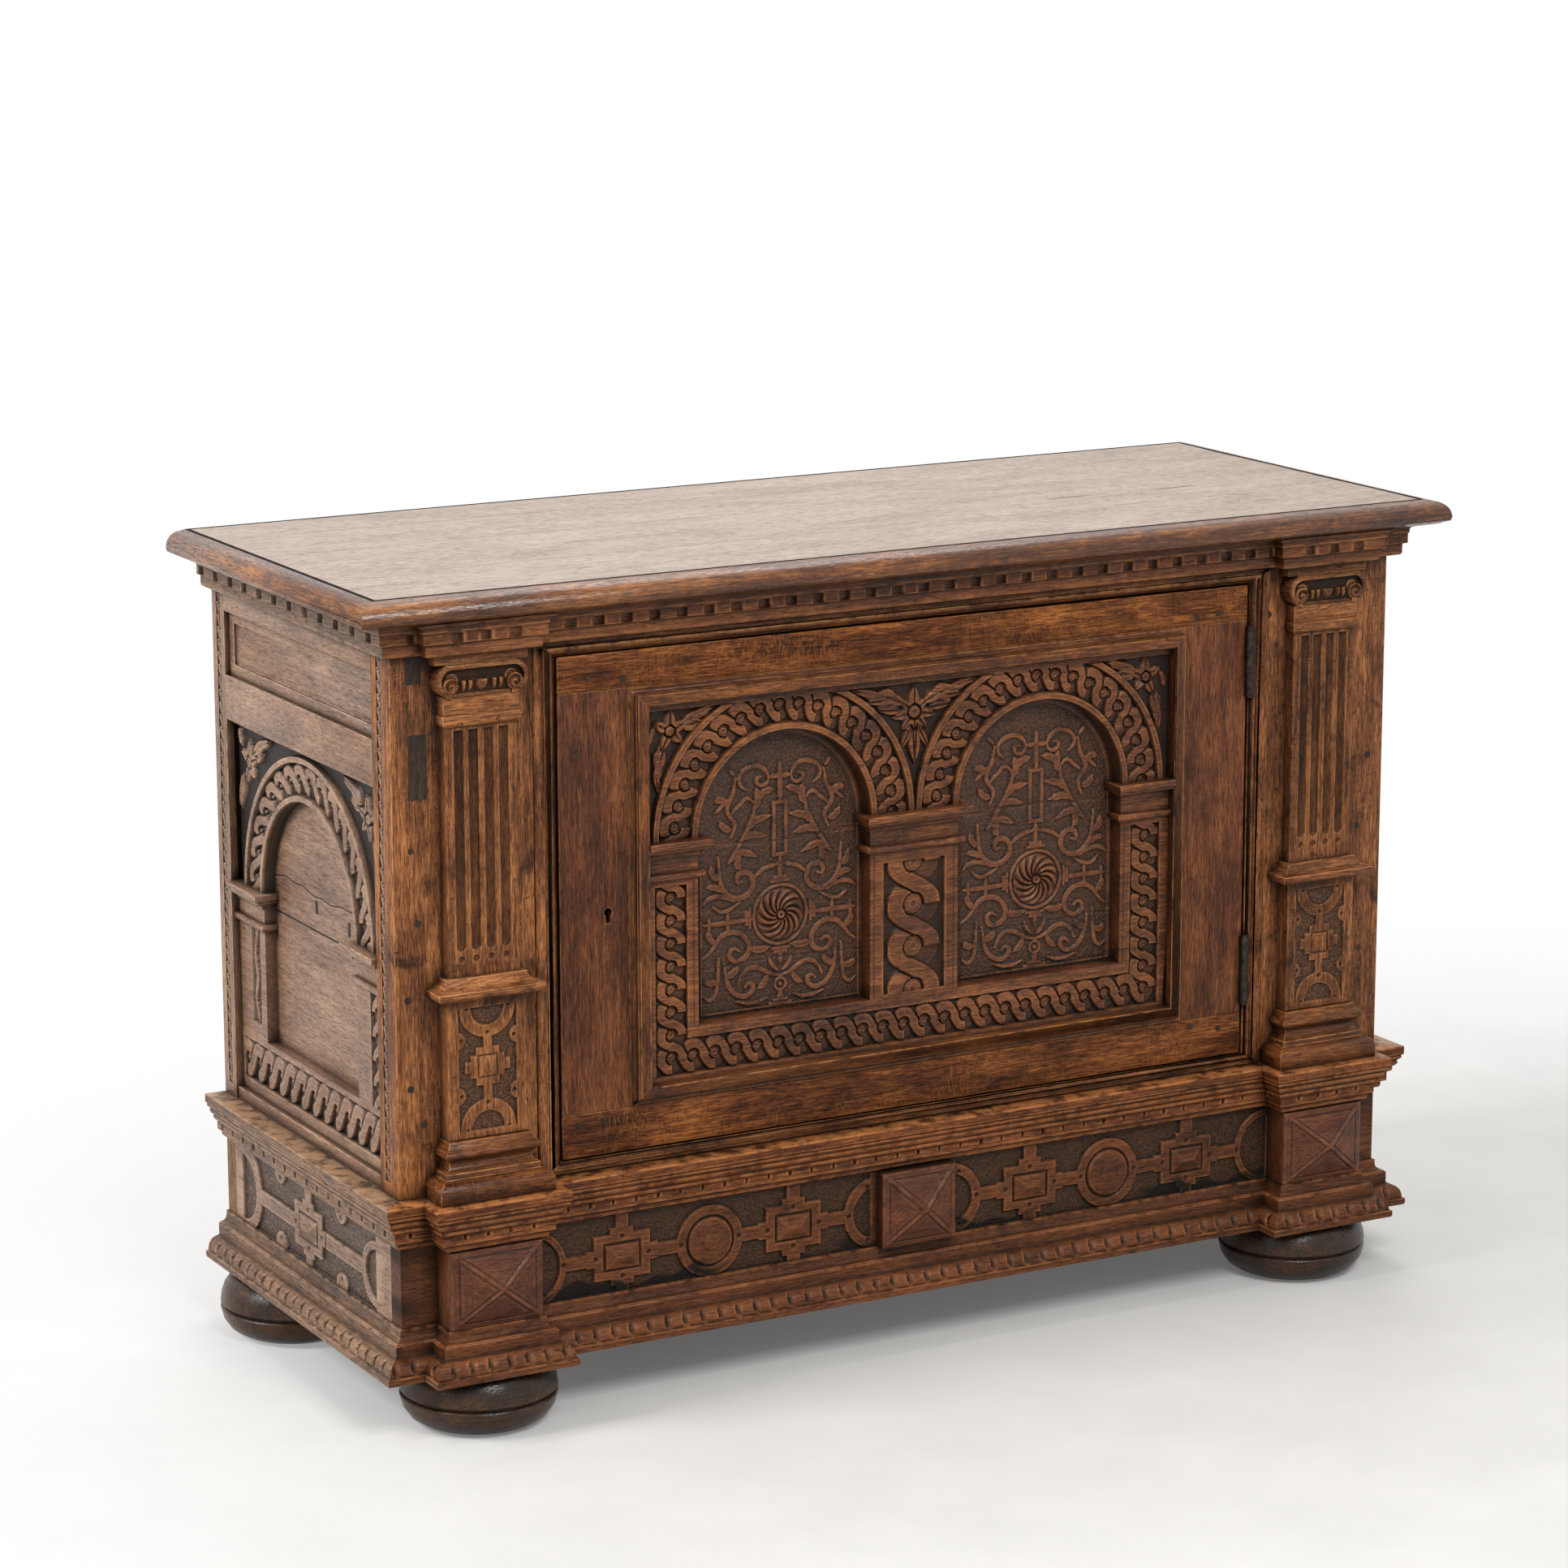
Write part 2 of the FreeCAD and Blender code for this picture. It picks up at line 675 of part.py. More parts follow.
def lock():
    """The box lock in the door, its sliding bolt, and the strike plate in the left stile."""
    edge = -door_half
    low = keyhole_z - lock_case_drop
    case_front = door_back - lock_case_depth
    case = box(edge, edge + lock_case_length, case_front, door_back, low, low + lock_case_height)
    channel = bolt_box(bolt_gap, edge - overrun, edge + bolt_length + bolt_gap)
    key_room = bolt_box(bolt_gap, keyhole_x - bolt_throw - bolt_gap, keyhole_x + bolt_throw + bolt_gap)
    bounds = key_room.BoundBox
    chamber = box(bounds.XMin, bounds.XMax, case_front + lock_wall, bounds.YMax, low + lock_wall, bounds.ZMin)
    nodes["lock_case"] = [case.cut([channel, chamber, keyhole(case_front - overrun, case_front + lock_wall + overrun)])]
    bolt = bolt_box(0, edge, edge + bolt_length)
    talon = box(keyhole_x - bolt_talon_width / 2, keyhole_x + bolt_talon_width / 2, bolt.BoundBox.YMin,
                bolt.BoundBox.YMax, bolt.BoundBox.ZMin, bolt.BoundBox.ZMin + bolt_talon_depth)
    nodes["lock_bolt"] = [bolt.cut(talon)]
    middle_y = (bolt.BoundBox.YMin + bolt.BoundBox.YMax) / 2
    middle_z = (bolt.BoundBox.ZMin + bolt.BoundBox.ZMax) / 2
    plate = box(-doorway_half - strike_thickness, -doorway_half, middle_y - strike_width / 2,
                middle_y + strike_width / 2, middle_z - strike_height / 2, middle_z + strike_height / 2)
    hole = bolt_box(strike_gap, -doorway_half - bolt_throw, -doorway_half + overrun)
    nodes["lock_strike"] = [plate.cut(hole)]
    return case, plate, hole


def tenon(x0, x1, z0, z1, thickness, setback):
    """A tongue that stands on the end of a rail."""
    return box(x0, x1, front + setback, front + setback + thickness, z0, z1)


def front_frame(strips, strike_plate, strike_hole):
    """Front stiles, top rail and sill, with the stops that the door shuts against."""
    stop_y = front + stile_thickness - stop_thickness
    setback = (stile_thickness - rail_tenon_thickness) * tenon_setback_share
    tenon_x = doorway_half + rail_tenon
    rail_height = case_top - doorway_high
    tenon_high = doorway_high + rail_height * rail_tenon_width_share
    top_tenons = tenon(-tenon_x, tenon_x, doorway_high, tenon_high, rail_tenon_thickness, setback + doorway_strip_depth)
    sill_tenons = tenon(-tenon_x, tenon_x, plinth_top, plinth_top + sill_height * rail_tenon_width_share,
                        rail_tenon_thickness, setback + doorway_strip_depth)
    rail = fuse([
        box(-doorway_half, doorway_half, front, side_inner_front, doorway_high, case_top), top_tenons,
        box(-doorway_half, doorway_half, stop_y, side_inner_front, doorway_high - stop_lip, doorway_high)])
    sill = fuse([
        box(-doorway_half, doorway_half, front, side_inner_front, plinth_top, doorway_low), sill_tenons,
        box(-doorway_half, doorway_half, stop_y, side_inner_front, doorway_low, doorway_low + stop_lip)])
    nodes["front_rail_top"] = [rail.cut(strips)]
    nodes["front_rail_bottom"] = [sill.cut(strips)]
    stile = box(-half_width, -doorway_half, front, side_inner_front, plinth_top, case_top)
    lip = box(-doorway_half, -doorway_half + stop_lip, stop_y, side_inner_front, doorway_low + stop_lip,
              doorway_high - stop_lip)
    groove = box(-half_width, -half_width + side_groove_depth, front + side_groove_inset,
                 front + side_groove_inset + side_groove_width, plinth_top + side_foot_rail, cornice_low)
    stile = fuse([stile, lip]).cut([groove])
    cuts = strips + [top_tenons, sill_tenons] + side_joints()
    nodes["front_stile_left"] = [stile.cut(cuts + [strike_plate, strike_hole])]
    right = mirrored([stile.cut(mirrored(strips) + [top_tenons, sill_tenons] + side_joints())])[0]
    nodes["front_stile_right"] = [right.cut(leaf_seat(doorway_half, 1))]
    nodes["doorway_moulding"] = [strip.cut(leaf_seat(doorway_half, 1)) for strip in strips]


def side_board(face_x, thickness, low, high):
    """A board of the left side between the posts, with a tongue all round."""
    return box(-face_x, -face_x + thickness, side_inner_front - panel_tongue, side_inner_back + panel_tongue,
               low - panel_tongue, high + panel_tongue)


def side_joints():
    """The shapes of the left side's tongues and tenons, which the posts and rails have grooves for."""
    upper_face = half_width - upper_panel_sink
    return [
        side_board(upper_face, upper_panel_thickness, side_upper_low, side_upper_high),
        side_board(side_arch_face, side_arch_thickness, side_lower_low, side_lower_high),
        side_board(side_field_face, side_field_thickness, side_lower_low, side_lower_high)]


def side_frame():
    """Rails, upper panel, arch board, field and imposts of the two sides."""
    joints = side_joints()
    face = -half_width
    inner = face + side_rail_thickness
    rails = [
        box(face, inner, side_inner_front, side_inner_back, side_upper_high, case_top),
        box(face, inner, side_inner_front, side_inner_back, side_lower_high, side_upper_low),
        box(face + side_foot_rail_sink, inner, side_inner_front, side_inner_back, plinth_top, side_lower_low)]
    rails = [rail.cut(joints) for rail in rails]
    raised = box(face + upper_panel_sink - overrun, face + upper_panel_sink + upper_panel_field_sink,
                 side_inner_front + upper_panel_bevel, side_inner_back - upper_panel_bevel,
                 side_upper_low + upper_panel_bevel, side_upper_high - upper_panel_bevel)
    upper = joints[0].cut(raised)
    hole = arch_hole(-side_middle, side_arch_radius, side_niche_low, side_spring_height,
                     side_arch_sink - overrun, side_arch_sink + side_arch_thickness + overrun)
    rings = []
    for radius in (side_arch_radius + ring_band, side_outer_ring_radius):
        rings.append(half_ring(-side_middle, side_spring_height, radius, ring_band,
                               side_arch_sink - ring_proud, side_arch_sink))
    panel_room = box(-side_inner_back, -side_inner_front, 0, half_width, side_lower_low, side_lower_high)
    rings = on_left([ring.common(panel_room) for ring in rings])
    arch = joints[1].cut(on_left([hole])[0]).fuse(rings).removeSplitter()
    imposts = []
    for start, end in ((-side_inner_back, -side_middle - side_arch_radius),
                       (-side_middle + side_arch_radius, -side_inner_front)):
        imposts += pier_mouldings(start, end, side_arch_sink, side_arch_sink + side_arch_thickness,
                                  side_spring_height, start == -side_inner_back, start != -side_inner_back)
    imposts = on_left(imposts)
    left = {"side_rails": rails, "side_upper_panel": [upper], "side_arch_board": [arch],
            "side_field": [joints[2]], "side_imposts": imposts}
    for name, shapes in left.items():
        nodes[name + "_left"] = shapes
        nodes[name + "_right"] = mirrored(shapes)


def pier_mouldings(x0, x1, face_y, deep_y, top, closed_left, closed_right):
    """The impost and the neck of a pier from x0 to x1; an end that is closed dies against the frame."""
    pieces = []
    for shares, reach, overhang, height, low in (
            (impost_shares, impost_reach, impost_overhang, impost_height, top - impost_height),
            (neck_shares, neck_reach, neck_reach, neck_height, top - neck_drop)):
        path = [(x0, face_y), (x1, face_y)]
        reaches = [reach]
        if not closed_left:
            path = [(x0, deep_y)] + path
            reaches = [overhang] + reaches
        if not closed_right:
            path = path + [(x1, deep_y)]
            reaches = reaches + [overhang]
        pieces.append(fuse(moulding(path, shares, reaches, height, low)))
    return pieces


def rear_frame():
    """Rear posts and the boards between them."""
    post = box(-half_width, -half_width + rear_post_width, side_inner_back, back, plinth_top, case_top)
    groove = box(-half_width, -half_width + side_groove_depth, back - side_groove_inset, back - side_groove_inset
                 + side_groove_width, plinth_top + side_foot_rail, cornice_low)
    reach = half_width - rear_post_width
    boards = []
    pitch = case_height / back_board_count
    for index in range(back_board_count):
        low = plinth_top + index * pitch
        boards.append(box(-reach - panel_tongue, reach + panel_tongue, back_face, back_face + back_thickness,
                          low, low + pitch))
    post = post.cut([groove] + side_joints() + boards)
    nodes["rear_post_left"] = [post]
    nodes["rear_post_right"] = mirrored([post])
    nodes["back_boards"] = boards
    return reach


def inside(post_reach):
    """Floor, shelf and the bearers that they lie on."""
    def board(low, thickness, y0):
        wide = box(-side_wall_inner, side_wall_inner, y0, side_inner_back, low, low + thickness)
        narrow = box(-post_reach, post_reach, side_inner_back, back_face, low, low + thickness)
        return fuse([wide, narrow])
    nodes["bottom_board"] = [board(plinth_top, floor_thickness, side_inner_front)]
    nodes["shelf"] = [board(shelf_low, shelf_thickness, side_inner_front + shelf_front_gap)]
    plinth_inner = half_width - plinth_board
    bearers = [
        box(-side_wall_inner, -side_wall_inner + bearer_width, side_inner_front + shelf_front_gap,
            side_inner_back, shelf_low - bearer_height, shelf_low),
        box(-plinth_inner, -plinth_inner + bearer_width, front + plinth_board, back - plinth_board,
            plinth_top - bearer_height, plinth_top)]
    nodes["board_bearers"] = bearers + mirrored(bearers)


def top_and_cornice():
    """Top board with its dark line, the moulded edge, and the cornice under it."""
    edge_front = front - edge_inner_reach
    board = box(-edge_inner, edge_inner, edge_front, back, case_top, top_surface)
    low = top_surface - inlay_depth
    rear_line = back - inlay_inset_back
    lines = [
        box(-edge_inner - inlay_width, -edge_inner, edge_front - inlay_width, back, low, top_surface),
        box(edge_inner, edge_inner + inlay_width, edge_front - inlay_width, back, low, top_surface),
        box(-edge_inner, edge_inner, edge_front - inlay_width, edge_front, low, top_surface),
        box(-edge_inner, edge_inner, rear_line - inlay_width, rear_line, low, top_surface)]
    nodes["top_board"] = [board.cut(lines[3])]
    nodes["top_inlay"] = lines
    path = [(-edge_inner, back), (-edge_inner, edge_front), (edge_inner, edge_front), (edge_inner, back)]
    runs = moulding(path, edge_shares, edge_reach - edge_inner_reach, top_thickness, case_top)
    nodes["top_edge_mouldings"] = [run.cut(lines[:3]) for run in (runs[1], runs[0], runs[2])]
    path = carcass_path(pilaster_x, cornice_break_width, cornice_break)
    nodes["cornice"] = moulded_member(
        path, cornice_shares, cornice_reach, cornice_rise, cornice_low, cornice_fascia_shares,
        dentil_width, dentil_depth)


def stadium(x, middle, reach, radius, y0, y1):
    """A flat bar with round ends that faces the front."""
    low, high = middle - radius, middle + radius
    points = [(x, low), (x + reach, low), (x + reach, high, x + reach + radius, middle), (x - reach, high),
              (x - reach, low, x - reach - radius, middle)]
    return Part.Face(outline(points, lambda across, up: V(across, y0, up))).extrude(V(0, y1 - y0, 0))


def capital(x):
    """An Ionic capital: astragal, plain band, rolled volutes and abacus."""
    def slab(width, projection, low, height):
        return box(x - width / 2, x + width / 2, front - projection, front, low, low + height)
    astragal = wrapped(x, astragal_width, astragal_projection, neck_shares, astragal_reach, astragal_height,
                       shaft_high)
    radius = volute_height / 2 + volute_bite
    middle = volute_low + volute_height / 2
    reach = volute_width / 2 - radius
    face = front - volute_projection
    roll = stadium(x, middle, reach, radius, face, front)
    sunk = stadium(x, middle, reach, radius - volute_rim, face - overrun, face + volute_sink)
    open_foot = box(x - reach, x + reach, face - overrun, face + volute_sink, volute_low - overrun, middle)
    roll = roll.cut([sunk, open_foot])
    eyes = [upright_disc(x + side * reach, middle, volute_eye_radius, face + volute_sink - volute_eye_depth,
                         front) for side in (-1, 1)]
    return fuse([slab(echinus_width, echinus_projection, echinus_low, echinus_height), roll, astragal,
                 slab(abacus_width, abacus_projection, abacus_low, abacus_height)] + eyes)


def fluted_shaft(x):
    """A flat shaft with four round-bottomed flutes and a dot under each."""
    face = front - shaft_projection
    shaft = box(x - shaft_width / 2, x + shaft_width / 2, face, front, shaft_low, shaft_high)
    cuts = []
    for index in range(flute_count):
        flute_x = x + (index - (flute_count - 1) / 2) * flute_pitch
        centre_y = face - flute_radius + flute_sink
        low = shaft_low + shaft_foot
        cuts.append(Part.makeCylinder(flute_radius, shaft_high - flute_top_gap - low, V(flute_x, centre_y, low)))
        cuts.append(upright_disc(flute_x, low - dot_gap, dot_radius, face - overrun, face + dot_depth))
    return shaft.cut(cuts)


def wrapped(x, width, projection, shares, reach, height, low):
    """A core with a moulding round its front and two sides."""
    half = width / 2
    core = box(x - half, x + half, front - projection, front, low, low + height)
    path = [(x - half, front), (x - half, front - projection), (x + half, front - projection), (x + half, front)]
    return fuse([core] + moulding(path, shares, reach, height, low))


def pedestal_die(x):
    """The die: a block with a sunk field and a flat strap ornament left standing in it."""
    face = front - die_projection
    die = box(x - die_width / 2, x + die_width / 2, face, front, die_low, cap_low)
    low = die_low + die_margin
    high = cap_low - die_margin
    half = die_width / 2 - die_margin
    middle = (low + high) / 2
    field = box(x - half, x + half, face - overrun, face + die_sink, low, high)
    clip = box(x - half, x + half, face, face + die_sink, low, high)
    straps = []
    for step in (-strap_square_step, 0, strap_square_step):
        straps.append(box(x - die_square + step, x + die_square - step, face, face + die_sink,
                          middle - die_square - step, middle + die_square + step))
    for edge in (low, high):
        ring = upright_disc(x, edge, strap_half_radius, face, face + die_sink)
        inner = upright_disc(x, edge, strap_half_inner_radius, face - overrun, face + die_sink + overrun)
        straps.append(ring.cut(inner))
        straps.append(upright_disc(x, edge, strap_half_inner_radius - die_sink, face, face + die_sink))
    return die.cut(field).fuse([strap.common(clip) for strap in straps]).removeSplitter()


def pilasters():
    """The two Ionic pilasters on their pedestals."""
    for side, x in (("left", -pilaster_x), ("right", pilaster_x)):
        nodes["capital_" + side] = [capital(x)]
        nodes["pilaster_shaft_" + side] = [fluted_shaft(x)]
        cap = wrapped(x, die_width, die_projection, cap_shares, cap_reach, cap_height, cap_low)
        nodes["pedestal_" + side] = [pedestal_die(x), cap]
        nodes["pilaster_base_" + side] = [
            wrapped(x, base_core_width, base_core_projection, base_shares, base_reach, base_height, pilaster_foot)]


def door_frame(case):
    """Stiles and rails of the door: the rails run right across, and the stiles are tenoned between them."""
    groove = box(-sight_half - panel_groove_depth, sight_half + panel_groove_depth, panel_face,
                 panel_face + panel_thickness, sight_low - panel_groove_depth, sight_high + panel_groove_depth)
    setback = (door_thickness - door_tenon_thickness) / 2
    tongues = []
    stiles = []
    for side in (-1, 1):
        xs = sorted([side * door_half, side * sight_half])
        middle = (xs[0] + xs[1]) / 2
        tongue = tenon(middle - door_tenon_width / 2, middle + door_tenon_width / 2, sight_low - door_tenon,
                       sight_high + door_tenon, door_tenon_thickness, setback)
        tongues.append(tongue)
        stile = box(xs[0], xs[1], front, door_back, sight_low, sight_high)
        stiles.append(fuse([stile, tongue]).cut(groove))
    cuts = tongues + [groove]
    rail_top = box(-door_half, door_half, front, door_back, sight_high, door_high).cut(cuts)
    rail_bottom = box(-door_half, door_half, front, door_back, door_low, sight_low).cut(cuts)
    seats = leaf_seat(door_half, -1)
    nodes["door_stile_lock"] = [stiles[0].cut([case, keyhole(front - overrun, door_back)])]
    nodes["door_stile_hinge"] = [stiles[1].cut(seats)]
    nodes["door_rail_top"] = [rail_top.cut(seats)]
    nodes["door_rail_bottom"] = [rail_bottom.cut(seats)]
    nodes["door_panel"] = [groove]


def door_panel():
    """The mitred moulding, the arcade board with its two arches, and the imposts."""
    path = [(-sight_half, sight_low), (-sight_half, sight_high), (sight_half, sight_high), (sight_half, sight_low)]
    rise = panel_groove_setback + panel_moulding_proud
    runs = moulding(path, panel_moulding_shares, panel_moulding_width, rise, 0, closed=True)
    nodes["door_panel_moulding"] = upright(runs, panel_face)
    board = box(-arcade_half, arcade_half, arcade_face, panel_face, arcade_low, arcade_high)
    room = box(-arcade_half, arcade_half, arcade_face - ring_proud, arcade_face, arcade_low, arcade_high)
    rings = []
    for x in (-arch_spacing / 2, arch_spacing / 2):
        board = board.cut(arch_hole(x, arch_radius, niche_low, springing, arcade_face - overrun, panel_face + overrun))
        for radius in (arch_radius + ring_band, door_outer_ring_radius):
            rings.append(half_ring(x, springing, radius, ring_band, arcade_face - ring_proud, arcade_face).common(room))
    pier = arch_spacing / 2 - arch_radius
    field_half = pier - pier_field_margin
    board = board.cut(box(-field_half, field_half, arcade_face - overrun, arcade_face + pier_field_sink,
                          niche_low + pier_field_margin, springing - neck_drop - pier_field_margin))
    nodes["door_arcade"] = [board.fuse(rings).removeSplitter()]
    outer = arch_spacing / 2 + arch_radius
    imposts = pier_mouldings(-arcade_half, -outer, arcade_face, panel_face, springing, True, False)
    imposts += pier_mouldings(-pier, pier, arcade_face, panel_face, springing, False, False)
    imposts += pier_mouldings(outer, arcade_half, arcade_face, panel_face, springing, False, True)
    nodes["door_imposts"] = imposts


def main():
    """Make every piece and write each node to its own file."""
    feet()
    plinth()
    case, strike_plate, strike_hole = lock()
    front_frame(doorway_strips(), strike_plate, strike_hole)
    side_frame()
    inside(rear_frame())
    top_and_cornice()
    pilasters()
    hinges()
    door_frame(case)
    door_panel()
    os.makedirs("parts", exist_ok=True)
    for name, shapes in nodes.items():
        solids = [solid for shape in shapes for solid in shape.Solids]
        whole = solids[0] if len(solids) == 1 else Part.makeCompound(solids)
        print(f"{name}: {len(solids)} solids, valid {whole.isValid()}, {whole.Volume / 1000:.1f} cm3")
        whole.exportStep(os.path.join("parts", name + ".step"))
    print(len(nodes), "nodes")


main()
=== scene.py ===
"""Carved oak cabinet: relief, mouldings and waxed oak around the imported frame.

Sizes are millimetres. Places on the front are measured from the middle of the cabinet, from the front face
of its stiles and from the foot of its plinth. Places on a side are measured from the front face to the back.
"""
from __future__ import annotations

import json
import logging
import math
from dataclasses import dataclass, field
from enum import Enum
from typing import Callable, Sequence

import bmesh
import bpy
import numpy as np
from mathutils import Matrix, Vector

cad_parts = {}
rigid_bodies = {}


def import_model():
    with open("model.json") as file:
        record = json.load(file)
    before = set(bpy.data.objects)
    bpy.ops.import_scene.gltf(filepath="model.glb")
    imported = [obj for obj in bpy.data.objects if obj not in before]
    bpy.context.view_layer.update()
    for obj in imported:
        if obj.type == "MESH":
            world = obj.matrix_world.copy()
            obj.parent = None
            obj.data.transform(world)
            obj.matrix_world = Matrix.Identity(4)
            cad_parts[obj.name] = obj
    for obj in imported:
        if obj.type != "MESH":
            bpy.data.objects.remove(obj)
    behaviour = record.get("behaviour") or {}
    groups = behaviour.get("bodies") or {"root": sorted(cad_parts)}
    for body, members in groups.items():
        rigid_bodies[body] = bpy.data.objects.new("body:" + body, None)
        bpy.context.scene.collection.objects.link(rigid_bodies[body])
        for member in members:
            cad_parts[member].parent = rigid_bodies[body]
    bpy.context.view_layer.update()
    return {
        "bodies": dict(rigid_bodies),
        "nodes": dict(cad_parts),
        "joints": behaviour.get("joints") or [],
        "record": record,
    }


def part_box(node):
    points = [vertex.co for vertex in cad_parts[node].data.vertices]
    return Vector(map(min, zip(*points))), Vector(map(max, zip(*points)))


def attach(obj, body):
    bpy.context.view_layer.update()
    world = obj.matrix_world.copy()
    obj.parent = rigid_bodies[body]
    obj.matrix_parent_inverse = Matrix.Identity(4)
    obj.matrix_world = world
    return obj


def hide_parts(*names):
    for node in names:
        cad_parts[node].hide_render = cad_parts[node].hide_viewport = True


MM = 0.001
SHADE_DIRT_MASK = "hollow"
WORN = "worn"
PUNCHED = "punched"
BOARD = "board"
LOG = logging.getLogger("cabinet")
Array = np.ndarray
Point = tuple[float, float]
Piece = bpy.types.Object
Socket = bpy.types.NodeSocket


class Grain(Enum):
    """The axis that the wood's grain runs along."""

    ALONG_X = 0
    ALONG_Y = 1
    ALONG_Z = 2


# Small tools for heights

def soft(value: Array, low: float, high: float) -> Array:
    """A smooth step from 0 at low to 1 at high.

    Args:
        value: the values to step.
        low: where the step starts; it may be above high.
        high: where the step ends.

    Returns:
        The stepped values, from 0 to 1.
    """
    t = np.clip((value - low) / (high - low), 0, 1)
    return t * t * (3 - 2 * t)


def spaced(marks: Sequence[float], steps: float | Sequence[float]) -> Array:
    """Places from the first mark to the last, about a step apart, that hit every mark.

    Args:
        marks: rising places that have to be hit.
        steps: the wanted spacing, for all or for each stretch between two marks.

    Returns:
        All the places, rising.
    """
    sizes = [steps] * (len(marks) - 1) if isinstance(steps, (int, float)) else steps
    pieces = [np.array([marks[0]], float)]
    for start, end, step in zip(marks, marks[1:], sizes):
        count = max(1, math.ceil((end - start) / step - 1e-6))
        pieces.append(np.linspace(start, end, count + 1)[1:])
    return np.concatenate(pieces)


def blurred(heights: Array, cells: int) -> Array:
    """A height field smoothed over some cells, with its borders repeated.

    Args:
        heights: the heights, by row and column.
        cells: how far to smooth, in cells.

    Returns:
        The smoothed heights.
    """
    kernel = np.hanning(2 * cells + 3)[1:-1]
    kernel = kernel / kernel.sum()
    result = heights
    for axis in (0, 1):
        pad = [(cells, cells) if a == axis else (0, 0) for a in (0, 1)]
        padded = np.pad(result, pad, mode="edge")
        length = result.shape[axis]
        result = sum(weight * np.take(padded, range(i, i + length), axis) for i, weight in enumerate(kernel))
    return result


def inside_box(x: Array, z: Array, x0: float, x1: float, z0: float, z1: float) -> Array:
    """How far inside an upright rectangle each place lies; negative outside it."""
    return np.minimum(np.minimum(x - x0, x1 - x), np.minimum(z - z0, z1 - z))


def inside_ring(x: Array, z: Array, middle: Point, outer: float, inner: float = 0.0) -> Array:
    """How far inside a flat ring, or a disc, each place lies; negative outside it."""
    r = np.hypot(x - middle[0], z - middle[1])
    return np.minimum(outer - r, r - inner) if inner else outer - r


def rounded_line(points: Sequence[Point], rounds: int = 2) -> Array:
    """A line of points with its corners cut off, so that it bends smoothly.

    Args:
        points: the line's corners.
        rounds: how many times its corners are cut.

    Returns:
        The smoother line's points, by row.
    """
    line = np.array(points, float)
    for _ in range(rounds):
        near = line[:-1] * 0.75 + line[1:] * 0.25
        far = line[:-1] * 0.25 + line[1:] * 0.75
        middle = np.stack([near, far], axis=1).reshape(-1, 2)
        line = np.concatenate([line[:1], middle[1:-1], line[-1:]])
    return line


def stroke(x: Array, z: Array, points: Sequence[Point], half: float, tip: float = 0.55) -> Array:
    """How far inside a drawn line each place lies, for a line that thins towards its two ends.

    Args:
        x: places across.
        z: places up.
        points: the line's corners.
        half: half of the line's width.
        tip: the share of the width that is left at the ends.

    Returns:
        The distances inside the line's edge; far below zero where the line isn't near.
    """
    line = rounded_line(points)
    result = np.full(x.shape, -9.0)
    reach = half + 2.0
    near = ((x > line[:, 0].min() - reach) & (x < line[:, 0].max() + reach)
            & (z > line[:, 1].min() - reach) & (z < line[:, 1].max() + reach))
    px, pz = x[near], z[near]
    best = np.full(px.shape, -9.0)
    count = len(line) - 1
    for index, (start, end) in enumerate(zip(line, line[1:])):
        run = end - start
        length = max(run @ run, 1e-9)
        share = np.clip(((px - start[0]) * run[0] + (pz - start[1]) * run[1]) / length, 0, 1)
        gap = np.hypot(px - start[0] - share * run[0], pz - start[1] - share * run[1])
        place = (index + share) / count
        width = half * (tip + (1 - tip) * np.minimum(1, 5 * np.minimum(place, 1 - place)))
        best = np.maximum(best, width - gap)
    result[near] = best
    return result


@dataclass(frozen=True)
class Petal:
    """A carved leaf or petal: a pointed lens with a vein, from its root to its tip."""

    root: Point
    tip: Point
    width: float

    def height(self, x: Array, z: Array) -> Array:
        """The leaf's height.

        Args:
            x: places across.
            z: places up.

        Returns:
            The share of full height at each place, from 0 to 1.
        """
        run = (self.tip[0] - self.root[0], self.tip[1] - self.root[1])
        length = math.hypot(*run)
        u = ((x - self.root[0]) * run[0] + (z - self.root[1]) * run[1]) / length ** 2
        v = np.abs((x - self.root[0]) * run[1] - (z - self.root[1]) * run[0]) / length
        half = self.width / 2 * np.sin(np.pi * np.clip(u, 0, 1) ** 0.8) + 0.01
        rise = np.clip(1 - (v / half) ** 2, 0, 1) * ((u > 0) & (u < 1))
        vein = 0.35 * soft(v, 1.3, 0.2) * soft(rise, 0.1, 0.5)
        return np.clip(rise * 1.5, 0, 1) - vein


